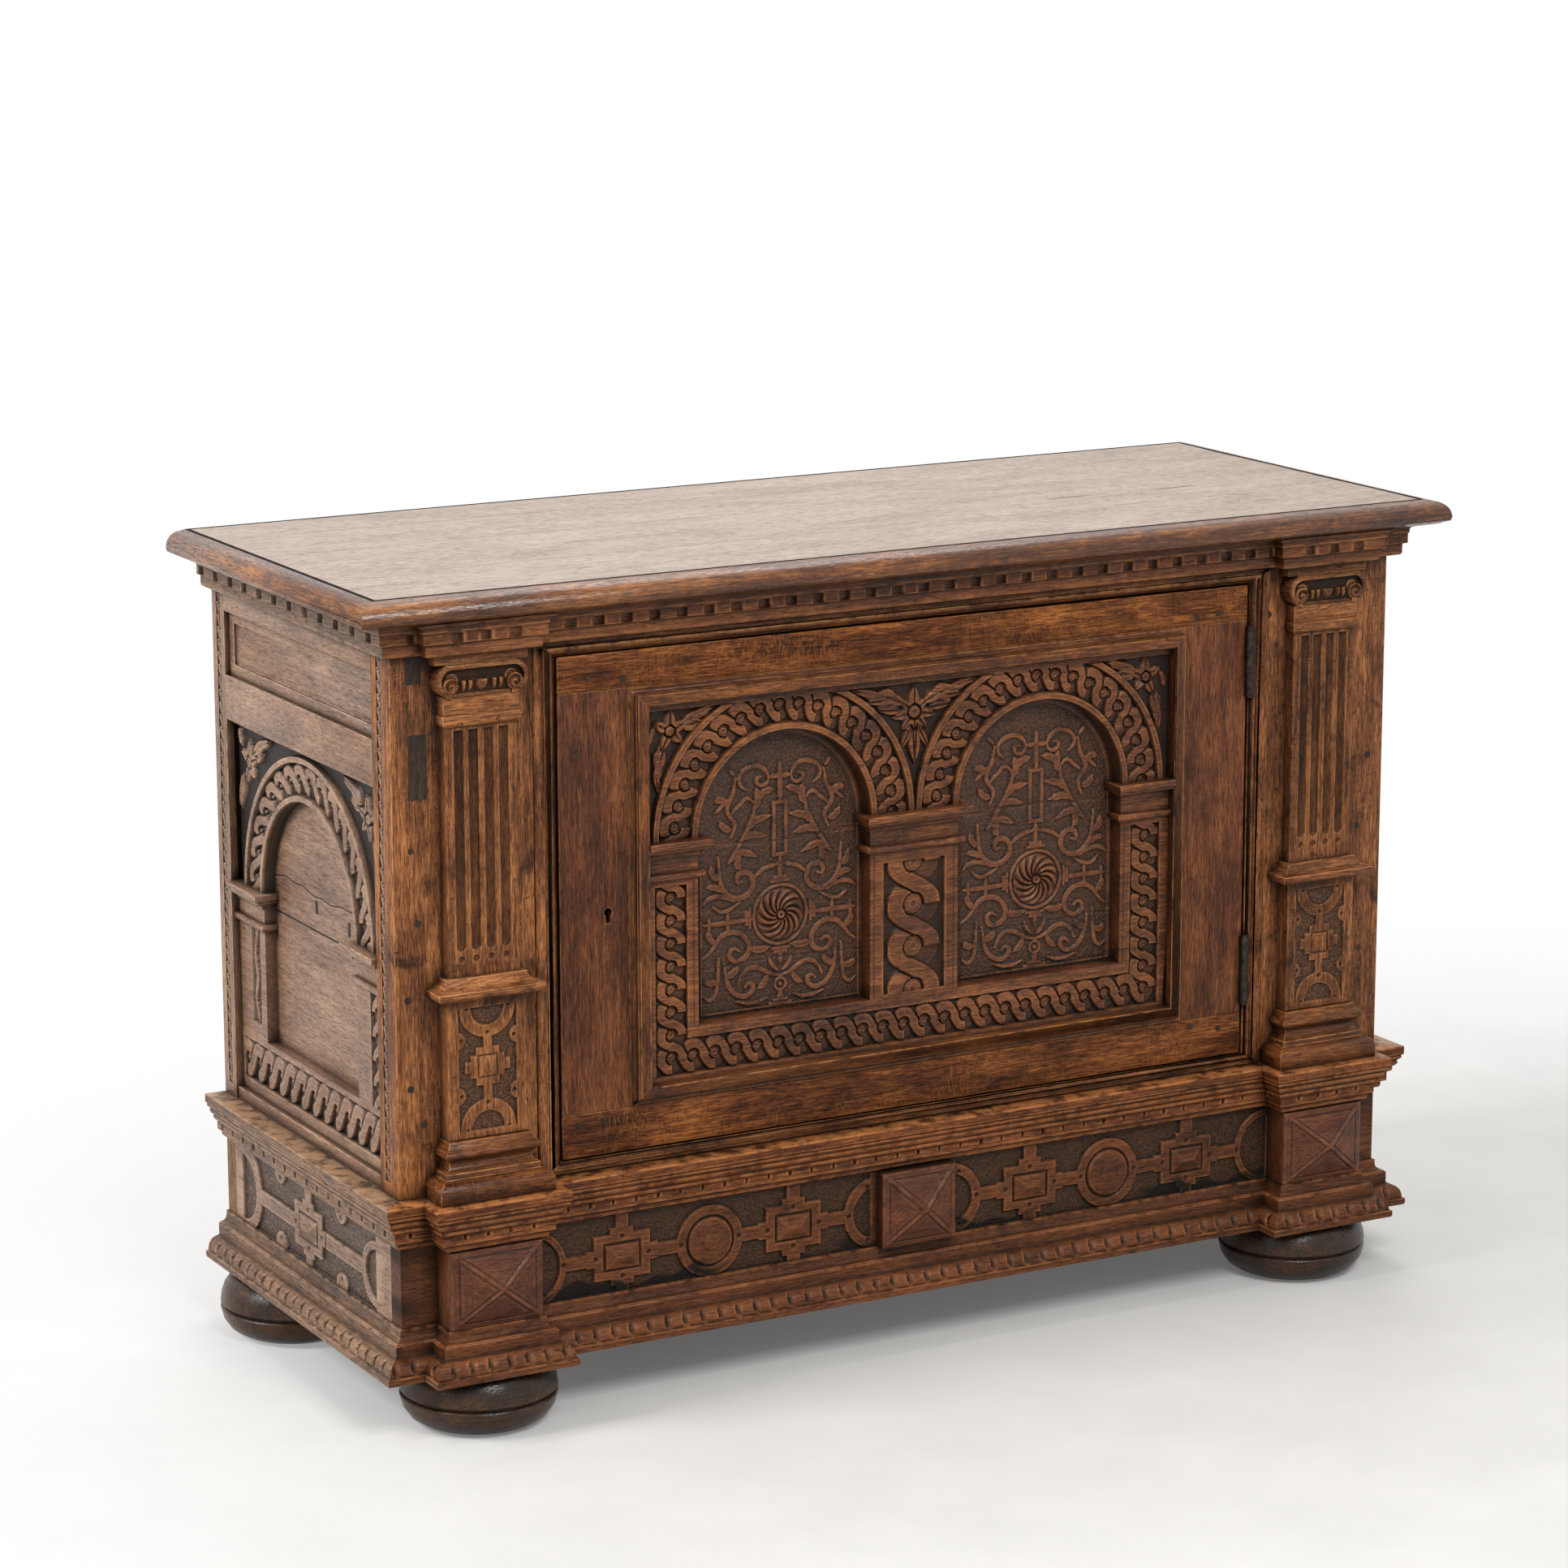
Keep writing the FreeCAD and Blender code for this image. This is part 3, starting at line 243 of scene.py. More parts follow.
@dataclass(frozen=True)
class Guilloche:
    """Two plaited strands with a button in each eye, cut into a board."""

    pitch: float
    reach: float
    strand: float
    button: float
    depth: float

    def height(self, s: Array, t: Array) -> Array:
        """The height against the board's face.

        Args:
            s: places along the band; a button lies half a pitch past each whole pitch.
            t: places across the band; the strand that lies on top falls with s.

        Returns:
            Heights from minus the depth up to about zero, in millimetres.
        """
        turn = np.pi * s / self.pitch
        wave = self.reach * np.sin(turn)
        stretch = np.sqrt(1 + (self.reach * np.pi / self.pitch * np.cos(turn)) ** 2)
        rising = np.abs(t - wave) / stretch
        falling = np.abs(t + wave) / stretch
        knot = np.rint(s / self.pitch)
        even = knot % 2 == 0
        over = np.where(even, falling, rising)
        under = np.where(even, rising, falling)
        phase = s / self.pitch - knot
        half = self.strand / 2
        top = soft(over, half + 0.4, half - 1.1) * (1 - 0.16 * np.clip(over / half, 0, 1) ** 2)
        level = 0.2 + 0.76 * np.maximum(soft(phase, -0.43, -0.5), soft(phase, 0.02, 0.2))
        low = soft(under, half + 0.4, half - 1.1) * level * (0.2 + 0.8 * soft(over, half - 0.2, half + 2.0))
        r = np.hypot(s - (np.floor(s / self.pitch) + 0.5) * self.pitch, t)
        button = max(self.button, 0.5)
        dome = soft(r, button + 0.3, button - 1.2) * (0.48 + 0.34 * soft(r, button, 0.0))
        dome = (dome - 0.35 * soft(r, button * 0.35, button * 0.15)) * (self.button > 0)
        gap = soft(r, button + 2.0, button + 1.2) * soft(r, button - 0.2, button + 0.6) * (self.button > 0)
        strands = np.maximum(top, low) * (1 - 0.8 * gap)
        return self.depth * (np.maximum(strands, dome) - 1)


# Faces that places are measured on

@dataclass(frozen=True)
class Face:
    """A flat face of the cabinet, on which places are given across, up and out."""

    origin: Vector
    across: Vector
    up: Vector

    @property
    def out(self) -> Vector:
        """The direction in which the face looks."""
        return self.across.cross(self.up)

    @property
    def turn(self) -> Matrix:
        """The turn that brings x, y and z to across, up and out."""
        return Matrix((self.across, self.up, self.out)).transposed().to_4x4()

    def points(self, across: Array, up: Array, out: Array) -> Array:
        """Places in the frame.

        Args:
            across: places across the face, in millimetres.
            up: places up it.
            out: places out of it.

        Returns:
            The places in metres, with three numbers in the last axis.
        """
        parts = [(across, self.across), (up, self.up), (out, self.out)]
        total = sum(np.asarray(values)[..., None] * np.array(axis) * MM for values, axis in parts)
        return total + np.array(self.origin)


@dataclass(frozen=True)
class Datum:
    """The faces that everything is measured from, read from the frame."""

    half_width: float
    front: float
    foot: float

    @classmethod
    def read(cls) -> "Datum":
        """Reads the carcass faces from the frame's own nodes."""
        low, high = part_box("front_stile_right")
        return cls(high.x, low.y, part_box("plinth_front")[0].z)

    def front_face(self, depth: float = 0.0) -> Face:
        """The plane some millimetres behind the front of the stiles."""
        return Face(Vector((0, self.front + depth * MM, self.foot)), Vector((1, 0, 0)), Vector((0, 0, 1)))

    def side_face(self, depth: float, left: bool) -> Face:
        """The plane some millimetres inside a side.

        Args:
            depth: how far inside it lies.
            left: whether it is the left side, where across ends at 0 in front; on the right it starts there.

        Returns:
            The face.
        """
        way = -1 if left else 1
        origin = Vector((way * (self.half_width - depth * MM), self.front, self.foot))
        return Face(origin, Vector((0, way, 0)), Vector((0, 0, 1)))


# Meshes

class Mesher:
    """Turns grids of points into closed meshes that carry their wear and their painted shade and dirt."""

    sharp = math.radians(38)
    merge = 0.02 * MM

    @staticmethod
    def shade_and_wear(height: Array, cells: int, reach: float) -> dict[str, Array]:
        """How much painted shade and dirt each point of a carved surface takes for lying below its
        surroundings, and how worn it is for lying above them.

        Args:
            height: the carved heights, by row and column.
            cells: how far around a point to compare its height.
            reach: the height difference that gives full painted shade and dirt, or full wear.

        Returns:
            The two attributes, from 0 to 1.
        """
        lift = height - blurred(height, cells)
        return {SHADE_DIRT_MASK: np.clip(-lift / reach, 0, 1), WORN: np.clip(lift / reach, 0, 1)}

    @staticmethod
    def _grid(points: Array, attributes: dict[str, Array], holes: Array | None) -> bmesh.types.BMesh:
        """A grid with its vertices moved to the given points.

        Args:
            points: where the vertices go, by row and column, in metres.
            attributes: values for each point.
            holes: says of each cell whether it is left out.

        Returns:
            The grid, its double vertices merged.
        """
        rows, columns = points.shape[:2]
        bm = bmesh.new()
        bmesh.ops.create_grid(bm, x_segments=columns - 1, y_segments=rows - 1, size=0.5)
        mesh = bpy.data.meshes.new("grid")
        bm.to_mesh(mesh)
        flat = np.empty(len(mesh.vertices) * 3, np.float32)
        mesh.vertices.foreach_get("co", flat)
        flat = flat.reshape(-1, 3)
        column = np.rint((flat[:, 0] + 0.5) * (columns - 1)).astype(int)
        row = np.rint((flat[:, 1] + 0.5) * (rows - 1)).astype(int)
        centre = np.empty(len(mesh.polygons) * 3, np.float32)
        mesh.polygons.foreach_get("center", centre)
        centre = centre.reshape(-1, 3)
        mesh.vertices.foreach_set("co", points[row, column].astype(np.float32).ravel())
        for name, values in attributes.items():
            layer = mesh.attributes.new(name, "FLOAT", "POINT")
            layer.data.foreach_set("value", values[row, column].astype(np.float32))
        bm.clear()
        bm.from_mesh(mesh)
        bpy.data.meshes.remove(mesh)
        if holes is not None:
            cell_column = np.floor((centre[:, 0] + 0.5) * (columns - 1)).astype(int)
            cell_row = np.floor((centre[:, 1] + 0.5) * (rows - 1)).astype(int)
            bm.faces.ensure_lookup_table()
            doomed = [bm.faces[i] for i in np.flatnonzero(holes[cell_row, cell_column])]
            bmesh.ops.delete(bm, geom=doomed, context="FACES")
        bmesh.ops.remove_doubles(bm, verts=bm.verts, dist=Mesher.merge)
        return bm

    @classmethod
    def finish(cls, bm: bmesh.types.BMesh, name: str) -> Piece:
        """Turns a closed bmesh into a smooth object at the origin whose faces point outwards.

        Args:
            bm: the mesh, which is freed.
            name: the object's name.

        Returns:
            The object, linked to the scene.
        """
        bmesh.ops.recalc_face_normals(bm, faces=bm.faces)
        if bm.calc_volume(signed=True) < 0:
            bmesh.ops.reverse_faces(bm, faces=bm.faces)
        mesh = bpy.data.meshes.new(name)
        bm.to_mesh(mesh)
        bm.free()
        mesh.shade_smooth()
        mesh.set_sharp_from_angle(angle=cls.sharp)
        piece = bpy.data.objects.new(name, mesh)
        bpy.context.scene.collection.objects.link(piece)
        return piece

    @classmethod
    def plate(cls, name: str, points: Array, attributes: dict[str, Array], face: Face, back: float,
              holes: Array | None = None) -> Piece:
        """A carved plate: a shaped grid whose border goes straight back to a flat back.

        Args:
            name: the object's name.
            points: the carved surface, by row and column, in metres.
            attributes: values for each point.
            face: the face that the plate is carved in.
            back: how far behind the face the flat back lies, in millimetres.
            holes: says of each cell whether it is left out.

        Returns:
            The closed plate.
        """
        bm = cls._grid(points, attributes, holes)
        border = [edge for edge in bm.edges if edge.is_boundary]
        grown = bmesh.ops.extrude_edge_only(bm, edges=border)["geom"]
        plane = face.origin - face.out * (back * MM)
        for vert in (v for v in grown if isinstance(v, bmesh.types.BMVert)):
            vert.co -= face.out * (vert.co - plane).dot(face.out)
        rim = [e for e in grown if isinstance(e, bmesh.types.BMEdge)]
        if holes is None:
            bmesh.ops.edgeloop_fill(bm, edges=rim)
        else:
            bmesh.ops.triangle_fill(bm, use_beauty=True, edges=rim, normal=-face.out)
        return cls.finish(bm, name)

    @classmethod
    def bar(cls, name: str, points: Array, attributes: dict[str, Array]) -> Piece:
        """A bar with flat ends.

        Args:
            name: the object's name.
            points: the points of its closed section by row, the stations along it by column, in metres.
            attributes: values for each point.

        Returns:
            The closed bar.
        """
        bm = cls._grid(points, attributes, None)
        border = [edge for edge in bm.edges if edge.is_boundary]
        bmesh.ops.edgeloop_fill(bm, edges=border)
        return cls.finish(bm, name)


# Finishes

def shade(code: str) -> tuple[float, float, float, float]:
    """The shader colour of a colour code.

    Args:
        code: two digits each for red, green and blue.

    Returns:
        The linear colour, at full alpha.
    """
    parts = [int(code[i:i + 2], 16) / 255 for i in (0, 2, 4)]
    linear = [p / 12.92 if p <= 0.04045 else ((p + 0.055) / 1.055) ** 2.4 for p in parts]
    return (*linear, 1.0)


class Shader:
    """Builds the nodes of one material or world."""

    def __init__(self, owner: bpy.types.Material | bpy.types.World) -> None:
        """Starts with no nodes.

        Args:
            owner: the material or world.
        """
        self.owner = owner
        owner.use_nodes = True
        self.tree = owner.node_tree
        self.tree.nodes.clear()

    def add(self, kind: str, inputs: dict | None = None, **settings: object) -> bpy.types.Node:
        """Adds a node.

        Args:
            kind: its type.
            inputs: a socket or a value for each of its inputs.
            settings: its own settings.

        Returns:
            The node.
        """
        node = self.tree.nodes.new("ShaderNode" + kind)
        for key, value in settings.items():
            setattr(node, key, value)
        for key, value in (inputs or {}).items():
            if isinstance(value, Socket):
                self.tree.links.new(value, node.inputs[key])
            else:
                node.inputs[key].default_value = value
        return node

    def math(self, operation: str, a: object, b: object, clamp: bool = False) -> Socket:
        """One sum of two numbers."""
        return self.add("Math", {0: a, 1: b}, operation=operation, use_clamp=clamp).outputs[0]

    def plus(self, a: object, b: object) -> Socket:
        """One number and another."""
        return self.math("ADD", a, b)

    def times(self, a: object, b: object) -> Socket:
        """One number times another."""
        return self.math("MULTIPLY", a, b)

    def mix(self, factor: object, a: object, b: object) -> Socket:
        """Two colours mixed by a factor."""
        return self.add("Mix", {0: factor, 6: a, 7: b}, data_type="RGBA").outputs[2]

    def step(self, value: object, low: float, high: float) -> Socket:
        """A smooth step of a value from 0 at low to 1 at high."""
        inputs = {"Value": value, "From Min": low, "From Max": high}
        return self.add("MapRange", inputs, interpolation_type="SMOOTHSTEP").outputs[0]

    def noise(self, vector: object, scale: float, detail: float, bend: float = 0.0) -> Socket:
        """A cloudy pattern from 0 to 1."""
        inputs = {"Vector": vector, "Scale": scale, "Detail": detail, "Roughness": 0.6, "Distortion": bend}
        return self.add("TexNoise", inputs).outputs["Fac"]

    def read(self, name: str) -> Socket:
        """An attribute of the mesh, 0 where the mesh has none."""
        return self.add("Attribute", attribute_name=name, attribute_type="GEOMETRY").outputs["Fac"]

    def ramp(self, value: object, stops: Sequence[tuple[float, str]]) -> Socket:
        """A colour for each value.

        Args:
            value: the value.
            stops: rising places and their colour codes.

        Returns:
            The colour.
        """
        node = self.add("ValToRGB", {0: value})
        bands = node.color_ramp.elements
        while len(bands) < len(stops):
            bands.new(0.5)
        for band, (place, code) in zip(bands, stops):
            band.position = place
            band.color = shade(code)
        return node.outputs[0]

    def surface(self, inputs: dict) -> bpy.types.Material:
        """Ends the material with a principled surface.

        Args:
            inputs: a socket or a value for each of the surface's inputs.

        Returns:
            The material.
        """
        node = self.add("BsdfPrincipled", inputs)
        self.add("OutputMaterial", {"Surface": node.outputs[0]})
        return self.owner


@dataclass(frozen=True)
class Oak:
    """Old waxed oak, as it looks on one part of the cabinet; the finishes of the sides, their mouldings and
    the top are painted lighter or darker for the light and shade that fall there.
    """

    name: str
    dark: str
    middle: str
    light: str
    worn: str = "a8744a"
    # The grime colour darkens the pores, stains and specks, and is also the colour of the painted shade in
    # corners and hollows.
    grime_and_shade: str = "170d08"
    ground: str = "45352a"
    roughness: float = 0.42
    gloss: float = 0.2
    contrast: float = 1.0
    pores: float = 0.55
    stains: float = 0.5
    flecks: float = 0.2
    specks: float = 0.3
    # corners sets how strongly painted shade is laid into corners and recesses.
    corners: float = 0.85
    # The next setting scales the painted shade and dirt laid into hollows.
    shade_and_dirt: float = 1.0

    def build(self, grain: Grain) -> bpy.types.Material:
        """Makes the finish.

        Args:
            grain: the axis that its grain runs along.

        Returns:
            The material.
        """
        sh = Shader(bpy.data.materials.new(f"{self.name}_{grain.name.lower()}"))
        grime_and_shade = shade(self.grime_and_shade)
        here = sh.add("TexCoord").outputs["Object"]
        shift = sh.add("VectorMath", {0: sh.read(BOARD), 1: (3.7, 5.3, 7.1)}, operation="MULTIPLY").outputs[0]
        place = sh.add("VectorMath", {0: here, 1: shift}, operation="ADD").outputs[0]
        broad = sh.noise(self._drawn(sh, place, grain, 0.3), 22.0, 5.0, 0.5)
        lines = sh.noise(self._drawn(sh, place, grain, 0.05), 300.0, 3.0, 0.8)
        fine = sh.noise(self._drawn(sh, place, grain, 0.09), 1000.0, 2.0)
        pores = sh.step(sh.noise(self._drawn(sh, place, grain, 0.075), 1050.0, 2.0), 0.445, 0.405)
        tone = sh.times(sh.math("SUBTRACT", broad, 0.5), 0.9 * self.contrast)
        for pattern in (lines, fine):
            tone = sh.plus(tone, sh.times(sh.math("SUBTRACT", pattern, 0.5), 0.6 * self.contrast))
        tone = sh.plus(tone, 0.5)
        colour = sh.ramp(tone, [(0.22, self.dark), (0.5, self.middle), (0.78, self.light)])
        colour = sh.mix(sh.times(pores, self.pores), colour, grime_and_shade)
        rays = sh.noise(self._drawn(sh, place, grain, 1.0, 0.2), 430.0, 2.0, 1.4)
        patch = sh.step(sh.noise(place, 11.0, 2.0), 0.4, 0.62)
        fleck = sh.times(sh.times(sh.step(rays, 0.5, 0.62), patch), self.flecks)
        colour = sh.mix(fleck, colour, shade(self.light))
        blot = sh.step(sh.noise(place, 19.0, 6.0, 0.6), 0.55, 0.7)
        colour = sh.mix(sh.times(blot, self.stains), colour, grime_and_shade)
        speck = sh.step(sh.noise(place, 95.0, 3.0, 0.8), 0.64, 0.7)
        colour = sh.mix(sh.times(speck, self.specks), colour, grime_and_shade)
        punched = sh.read(PUNCHED)
        cells = sh.add("TexVoronoi", {"Vector": place, "Scale": 400.0}).outputs["Distance"]
        speckle = sh.ramp(cells, [(0.1, self.grime_and_shade), (0.45, self.ground), (1.0, self.middle)])
        colour = sh.mix(sh.times(punched, 0.92), colour, speckle)
        # Painted shade and dirt: hollows and other low places are darkened towards the grime colour.
        thick = sh.plus(0.66 * self.shade_and_dirt, sh.times(lines, 0.5 * self.shade_and_dirt))
        shade_and_dirt = sh.math("MULTIPLY", sh.read(SHADE_DIRT_MASK), thick, True)
        colour = sh.mix(shade_and_dirt, colour, grime_and_shade)
        rubbed = sh.times(sh.read(WORN), sh.step(sh.noise(place, 60.0, 4.0), 0.35, 0.6))
        colour = sh.mix(sh.times(rubbed, 0.75), colour, shade(self.worn))
        # Painted shade: corners and recesses found by the occlusion are darkened towards the grime colour.
        nook = sh.add("AmbientOcclusion", {"Distance": 0.02}, samples=4).outputs["AO"]
        colour = sh.mix(sh.times(sh.step(nook, 0.9, 0.4), self.corners), colour, grime_and_shade)
        relief = sh.plus(sh.times(lines, 0.7), sh.times(fine, 0.6))
        relief = sh.plus(relief, sh.times(pores, -0.45))
        relief = sh.plus(relief, sh.times(sh.times(cells, punched), 3.0))
        bump = sh.add("Bump", {"Height": relief, "Strength": 0.6, "Distance": 0.0006}).outputs[0]
        rough = sh.plus(self.roughness - 0.1, sh.times(broad, 0.2))
        rough = sh.plus(rough, sh.times(sh.math("MAXIMUM", shade_and_dirt, pores), 0.25))
        rough = sh.math("SUBTRACT", rough, sh.times(rubbed, 0.14), True)
        return sh.surface({"Base Color": colour, "Roughness": rough, "Normal": bump,
                           "Specular IOR Level": self.gloss})

    @staticmethod
    def _drawn(sh: Shader, place: object, grain: Grain, along: float,
               across: float = 1.0) -> Socket:
        """The pattern's places, drawn out along the grain.

        Args:
            sh: the material's nodes.
            place: the places.
            grain: the axis of the grain.
            along: the pattern's scale along it.
            across: the pattern's scale across it.

        Returns:
            The scaled places.
        """
        scale = [across, across, across]
        scale[grain.value] = along
        return sh.add("Mapping", {"Vector": place, "Scale": scale}).outputs[0]


@dataclass(frozen=True)
class Iron:
    """Old dark iron with brown rust in its low places."""

    name: str = "iron"

    def build(self) -> bpy.types.Material:
        """Makes the finish.

        Returns:
            The material.
        """
        sh = Shader(bpy.data.materials.new(self.name))
        here = sh.add("TexCoord").outputs["Object"]
        cloud = sh.noise(here, 160.0, 5.0)
        colour = sh.ramp(cloud, [(0.35, "1d1a18"), (0.55, "3a322c"), (0.72, "5a4030")])
        bump = sh.add("Bump", {"Height": cloud, "Strength": 0.5, "Distance": 0.0004}).outputs[0]
        rough = sh.plus(0.35, sh.times(cloud, 0.35))
        return sh.surface({"Base Color": colour, "Roughness": rough, "Metallic": 0.75, "Normal": bump})


FRONT = Oak("front_oak", "351c0d", "7c4b2c", "bc7c4a", worn="cc8e56", grime_and_shade="100804", stains=0.8, specks=0.6,
            contrast=1.25)
DOOR = Oak("door_oak", "331b0e", "633822", "925936", worn="a06a42", flecks=0.12, stains=0.35, contrast=1.2)
RAIL = Oak("rail_oak", "2e150a", "6c3c1f", "ae6c36", worn="b4743e", flecks=0.4, contrast=1.3, gloss=0.14)
MOULD = Oak("mould_oak", "251309", "613519", "9a5e2e", worn="c07e46", grime_and_shade="0e0703", roughness=0.32,
            gloss=0.26, contrast=1.15)
CARVING = Oak("carving_oak", "2b180d", "683b21", "9c6038", worn="c07e48", grime_and_shade="0d0704", stains=0.62,
              roughness=0.38, gloss=0.3, contrast=1.2, shade_and_dirt=1.15)
GROUND = Oak("ground_oak", "2c190d", "643820", "885230", worn="a0663e", grime_and_shade="120a06", ground="3c2b1e",
             stains=0.45, roughness=0.38, gloss=0.3)
# Painted light: the sides' oak is paler and greyer than the front's, for the light and sheen that fall on the
# sides.
SIDE_LIT = Oak("side_lit_oak", "4f3626", "8d6b54", "b69377", worn="d4ae8e", grime_and_shade="180d07", ground="38271b",
           roughness=0.38, gloss=0.45, stains=0.14, pores=0.42, specks=0.2, flecks=0.25, contrast=0.95,
           corners=0.95, shade_and_dirt=1.4)
# Painted light and shade: the side mouldings' oak is paler than the front mouldings' for the light on the
# sides, and darker than the side panels for the shade under the mouldings.
SIDE_TRIM_LIT = Oak("side_trim_lit_oak", "36231a", "72533b", "a47c5c", worn="bd9370", grime_and_shade="1a110a", roughness=0.4, gloss=0.35,
           pores=0.6, specks=0.4, flecks=0.1)
# Painted sheen: the top's oak is pale and greyish for the light glancing off it.
TOP_SHEEN = Oak("top_oak", "7b6757", "9d8978", "b3a192", worn="b89a7c", grime_and_shade="5c4030", roughness=0.36, gloss=0.42,
          stains=0.12, pores=0.5, specks=0.12, flecks=0.15, corners=0.3)
EDGE = Oak("edge_oak", "2f1609", "663a1b", "a46834", stains=0.45, roughness=0.17, gloss=0.42, flecks=0.1,
           contrast=1.3)
CORNICE = Oak("cornice_oak", "2c170b", "6a3c21", "a0643a", worn="c4824e", grime_and_shade="0f0804", stains=0.55,
              roughness=0.36, gloss=0.26)
LEDGE = Oak("ledge_oak", "2f180b", "6b3a1d", "a8653a", worn="cc844c", grime_and_shade="0f0804", stains=0.55, specks=0.5,
            contrast=1.15)
PLINTH = Oak("plinth_oak", "2b180b", "5e361e", "865030", worn="b06e42", grime_and_shade="100904", ground="3c2d20",
             stains=0.55, shade_and_dirt=1.25)
DIAMOND = Oak("diamond_oak", "2e180c", "5a301c", "824a2c", worn="b4764a", stains=0.35, roughness=0.3,
              gloss=0.26)
FOOT = Oak("foot_oak", "1a120b", "33251a", "6e4422", worn="9a6230", stains=0.4, roughness=0.24, gloss=0.3)
INSIDE = Oak("inside_oak", "5d4530", "8a6c4c", "a5865f", stains=0.15, roughness=0.6, corners=0.6)
DARK = Oak("dark_oak", "211913", "352921", "4c3d31", worn="54402f", stains=0.2)
INLAY = Oak("inlay_oak", "0b0806", "17110d", "241a13", stains=0.1, gloss=0.05, roughness=0.8)


class Wardrobe:
    """Hands out each finish once for each grain."""

    def __init__(self) -> None:
        """Starts with nothing made."""
        self._made: dict[tuple[str, Grain], bpy.types.Material] = {}

    def oak(self, finish: Oak, grain: Grain) -> bpy.types.Material:
        """A finish with its grain along an axis.

        Args:
            finish: the finish.
            grain: the axis.

        Returns:
            The material.
        """
        key = (finish.name, grain)
        if key not in self._made:
            self._made[key] = finish.build(grain)
        return self._made[key]


# The bench on which pieces are made and fitted

@dataclass
class Bench:
    """What every sub-assembly needs to make and fit its pieces."""

    frame: dict
    datum: Datum
    wardrobe: Wardrobe = field(default_factory=Wardrobe)
    count: int = 0

    def fit(self, piece: Piece, slot: str, nodes: Sequence[str] = (), body: str = "cabinet") -> None:
        """Fits a piece to the frame.

        Args:
            piece: the piece.
            slot: a material slot; not used.
            nodes: the nodes that it stands for, which it hides.
            body: the body that it rides on.
        """
        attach(piece, body)
        if nodes:
            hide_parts(*nodes)
        self.count += 1
        LOG.info("%s: %d faces, on %s", piece.name, len(piece.data.polygons), body)

    def dress(self, slot: str, finish: Oak, width: float, *nodes: str, body: str = "cabinet") -> None:
        """Fits a worn copy in place of each node.

        Args:
            slot: handed on to fit.
            finish: their oak.
            width: how wide their rounding is, in millimetres; 0 for none.
            nodes: the nodes.
            body: the body that the copies ride on.
        """
        for node in nodes:
            self.fit(self.eased(node, finish, width), slot, [node], body)

    def carve(self, slot: str, name: str, face: Face, across: Array, up: Array, height: Array, back: float,
              finish: Oak, grain: Grain, nodes: Sequence[str] = (), body: str = "cabinet",
              punched: Array | None = None, holes: Array | None = None, board: float | Array = 0.0,
              cells: int = 4, reach: float = 2.4, shade_and_soot: Array | None = None) -> None:
        """Makes a carved plate with its finish and fits it.

        Args:
            slot: handed on to fit.
            name: the piece's name.
            face: the face that it is carved in.
            across: places across the face, by row and column.
            up: places up the face.
            height: the heights out of the face.
            back: how far behind the face its flat back lies.
            finish: its oak.
            grain: the axis of its grain.
            nodes: the nodes that it stands for.
            body: the body that it rides on.
            punched: how punched its ground is, from 0 to 1.
            holes: the cells that are left out.
            board: a number that gives it a grain pattern of its own.
            cells: how far around a point its height is compared, for its wear and its painted shade and dirt.
            reach: the height difference that counts as fully worn, or as full painted shade and dirt.
            shade_and_soot: how darkened each place is, from 0 to 1: painted shade in cuts and low places, and
                dark cracks and joints.
        """
        # Places lower than their surroundings, and those cut deeper than 2.2 mm, get painted shade and dirt;
        # higher ones get wear.
        attributes = Mesher.shade_and_wear(height, cells, reach)
        attributes[SHADE_DIRT_MASK] = np.maximum(attributes[SHADE_DIRT_MASK], 0.8 * soft(height, -2.2, -5.2))
        if shade_and_soot is not None:
            attributes[SHADE_DIRT_MASK] = np.maximum(attributes[SHADE_DIRT_MASK], shade_and_soot)
        attributes[PUNCHED] = np.zeros(height.shape) if punched is None else punched
        attributes[BOARD] = np.full(height.shape, board)
        piece = Mesher.plate(name, face.points(across, up, height), attributes, face, back, holes)
        piece.data.materials.append(self.wardrobe.oak(finish, grain))
        self.fit(piece, slot, nodes, body)

    def pegs(self, name: str, face: Face, places: Sequence[Point], radius: float) -> Piece:
        """Round wooden pegs, sunk in a face and a little proud of it.

        Args:
            name: the piece's name.
            face: the face that they are driven into.
            places: where they are, across and up.
            radius: their radius.

        Returns:
            All the pegs as one piece.
        """
        bm = bmesh.new()
        for index, (across, up) in enumerate(places):
            middle = face.origin + (face.across * across + face.up * up) * MM
            size = radius * (1 + 0.12 * math.sin(index * 2.3))
            place = Matrix.Translation(middle - face.out * 1.6 * MM) @ face.turn
            bmesh.ops.create_cone(bm, cap_ends=True, segments=14, radius1=size * MM, radius2=size * 0.86 * MM,
                                  depth=4.4 * MM, matrix=place)
        piece = Mesher.finish(bm, name)
        piece.data.materials.append(self.wardrobe.oak(DARK, Grain.ALONG_Z))
        return piece

    def patches(self, name: str, face: Face,
                places: Sequence[tuple[float, float, float, float]]) -> Piece:
        """Small square pieces of dark oak let into a face.

        Args:
            name: the piece's name.
            face: the face that they are let into.
            places: the lowest and highest place across, then up, of each.

        Returns:
            All the patches as one piece.
        """
        bm = bmesh.new()
        for low_across, high_across, low_up, high_up in places:
            centre = face.across * (low_across + high_across) / 2 + face.up * (low_up + high_up) / 2
            size = Matrix.Diagonal(((high_across - low_across) * MM, (high_up - low_up) * MM, 3 * MM, 1))
            place = Matrix.Translation(face.origin + (centre - face.out * 1.2) * MM) @ face.turn @ size
            bmesh.ops.create_cube(bm, size=1, matrix=place)
        bmesh.ops.bevel(bm, geom=bm.edges, offset=0.25 * MM, offset_type="OFFSET", segments=1, profile=0.5,
                        affect="EDGES", material=-1)
        piece = Mesher.finish(bm, name)
        piece.data.materials.append(self.wardrobe.oak(DARK, Grain.ALONG_Z))
        return piece

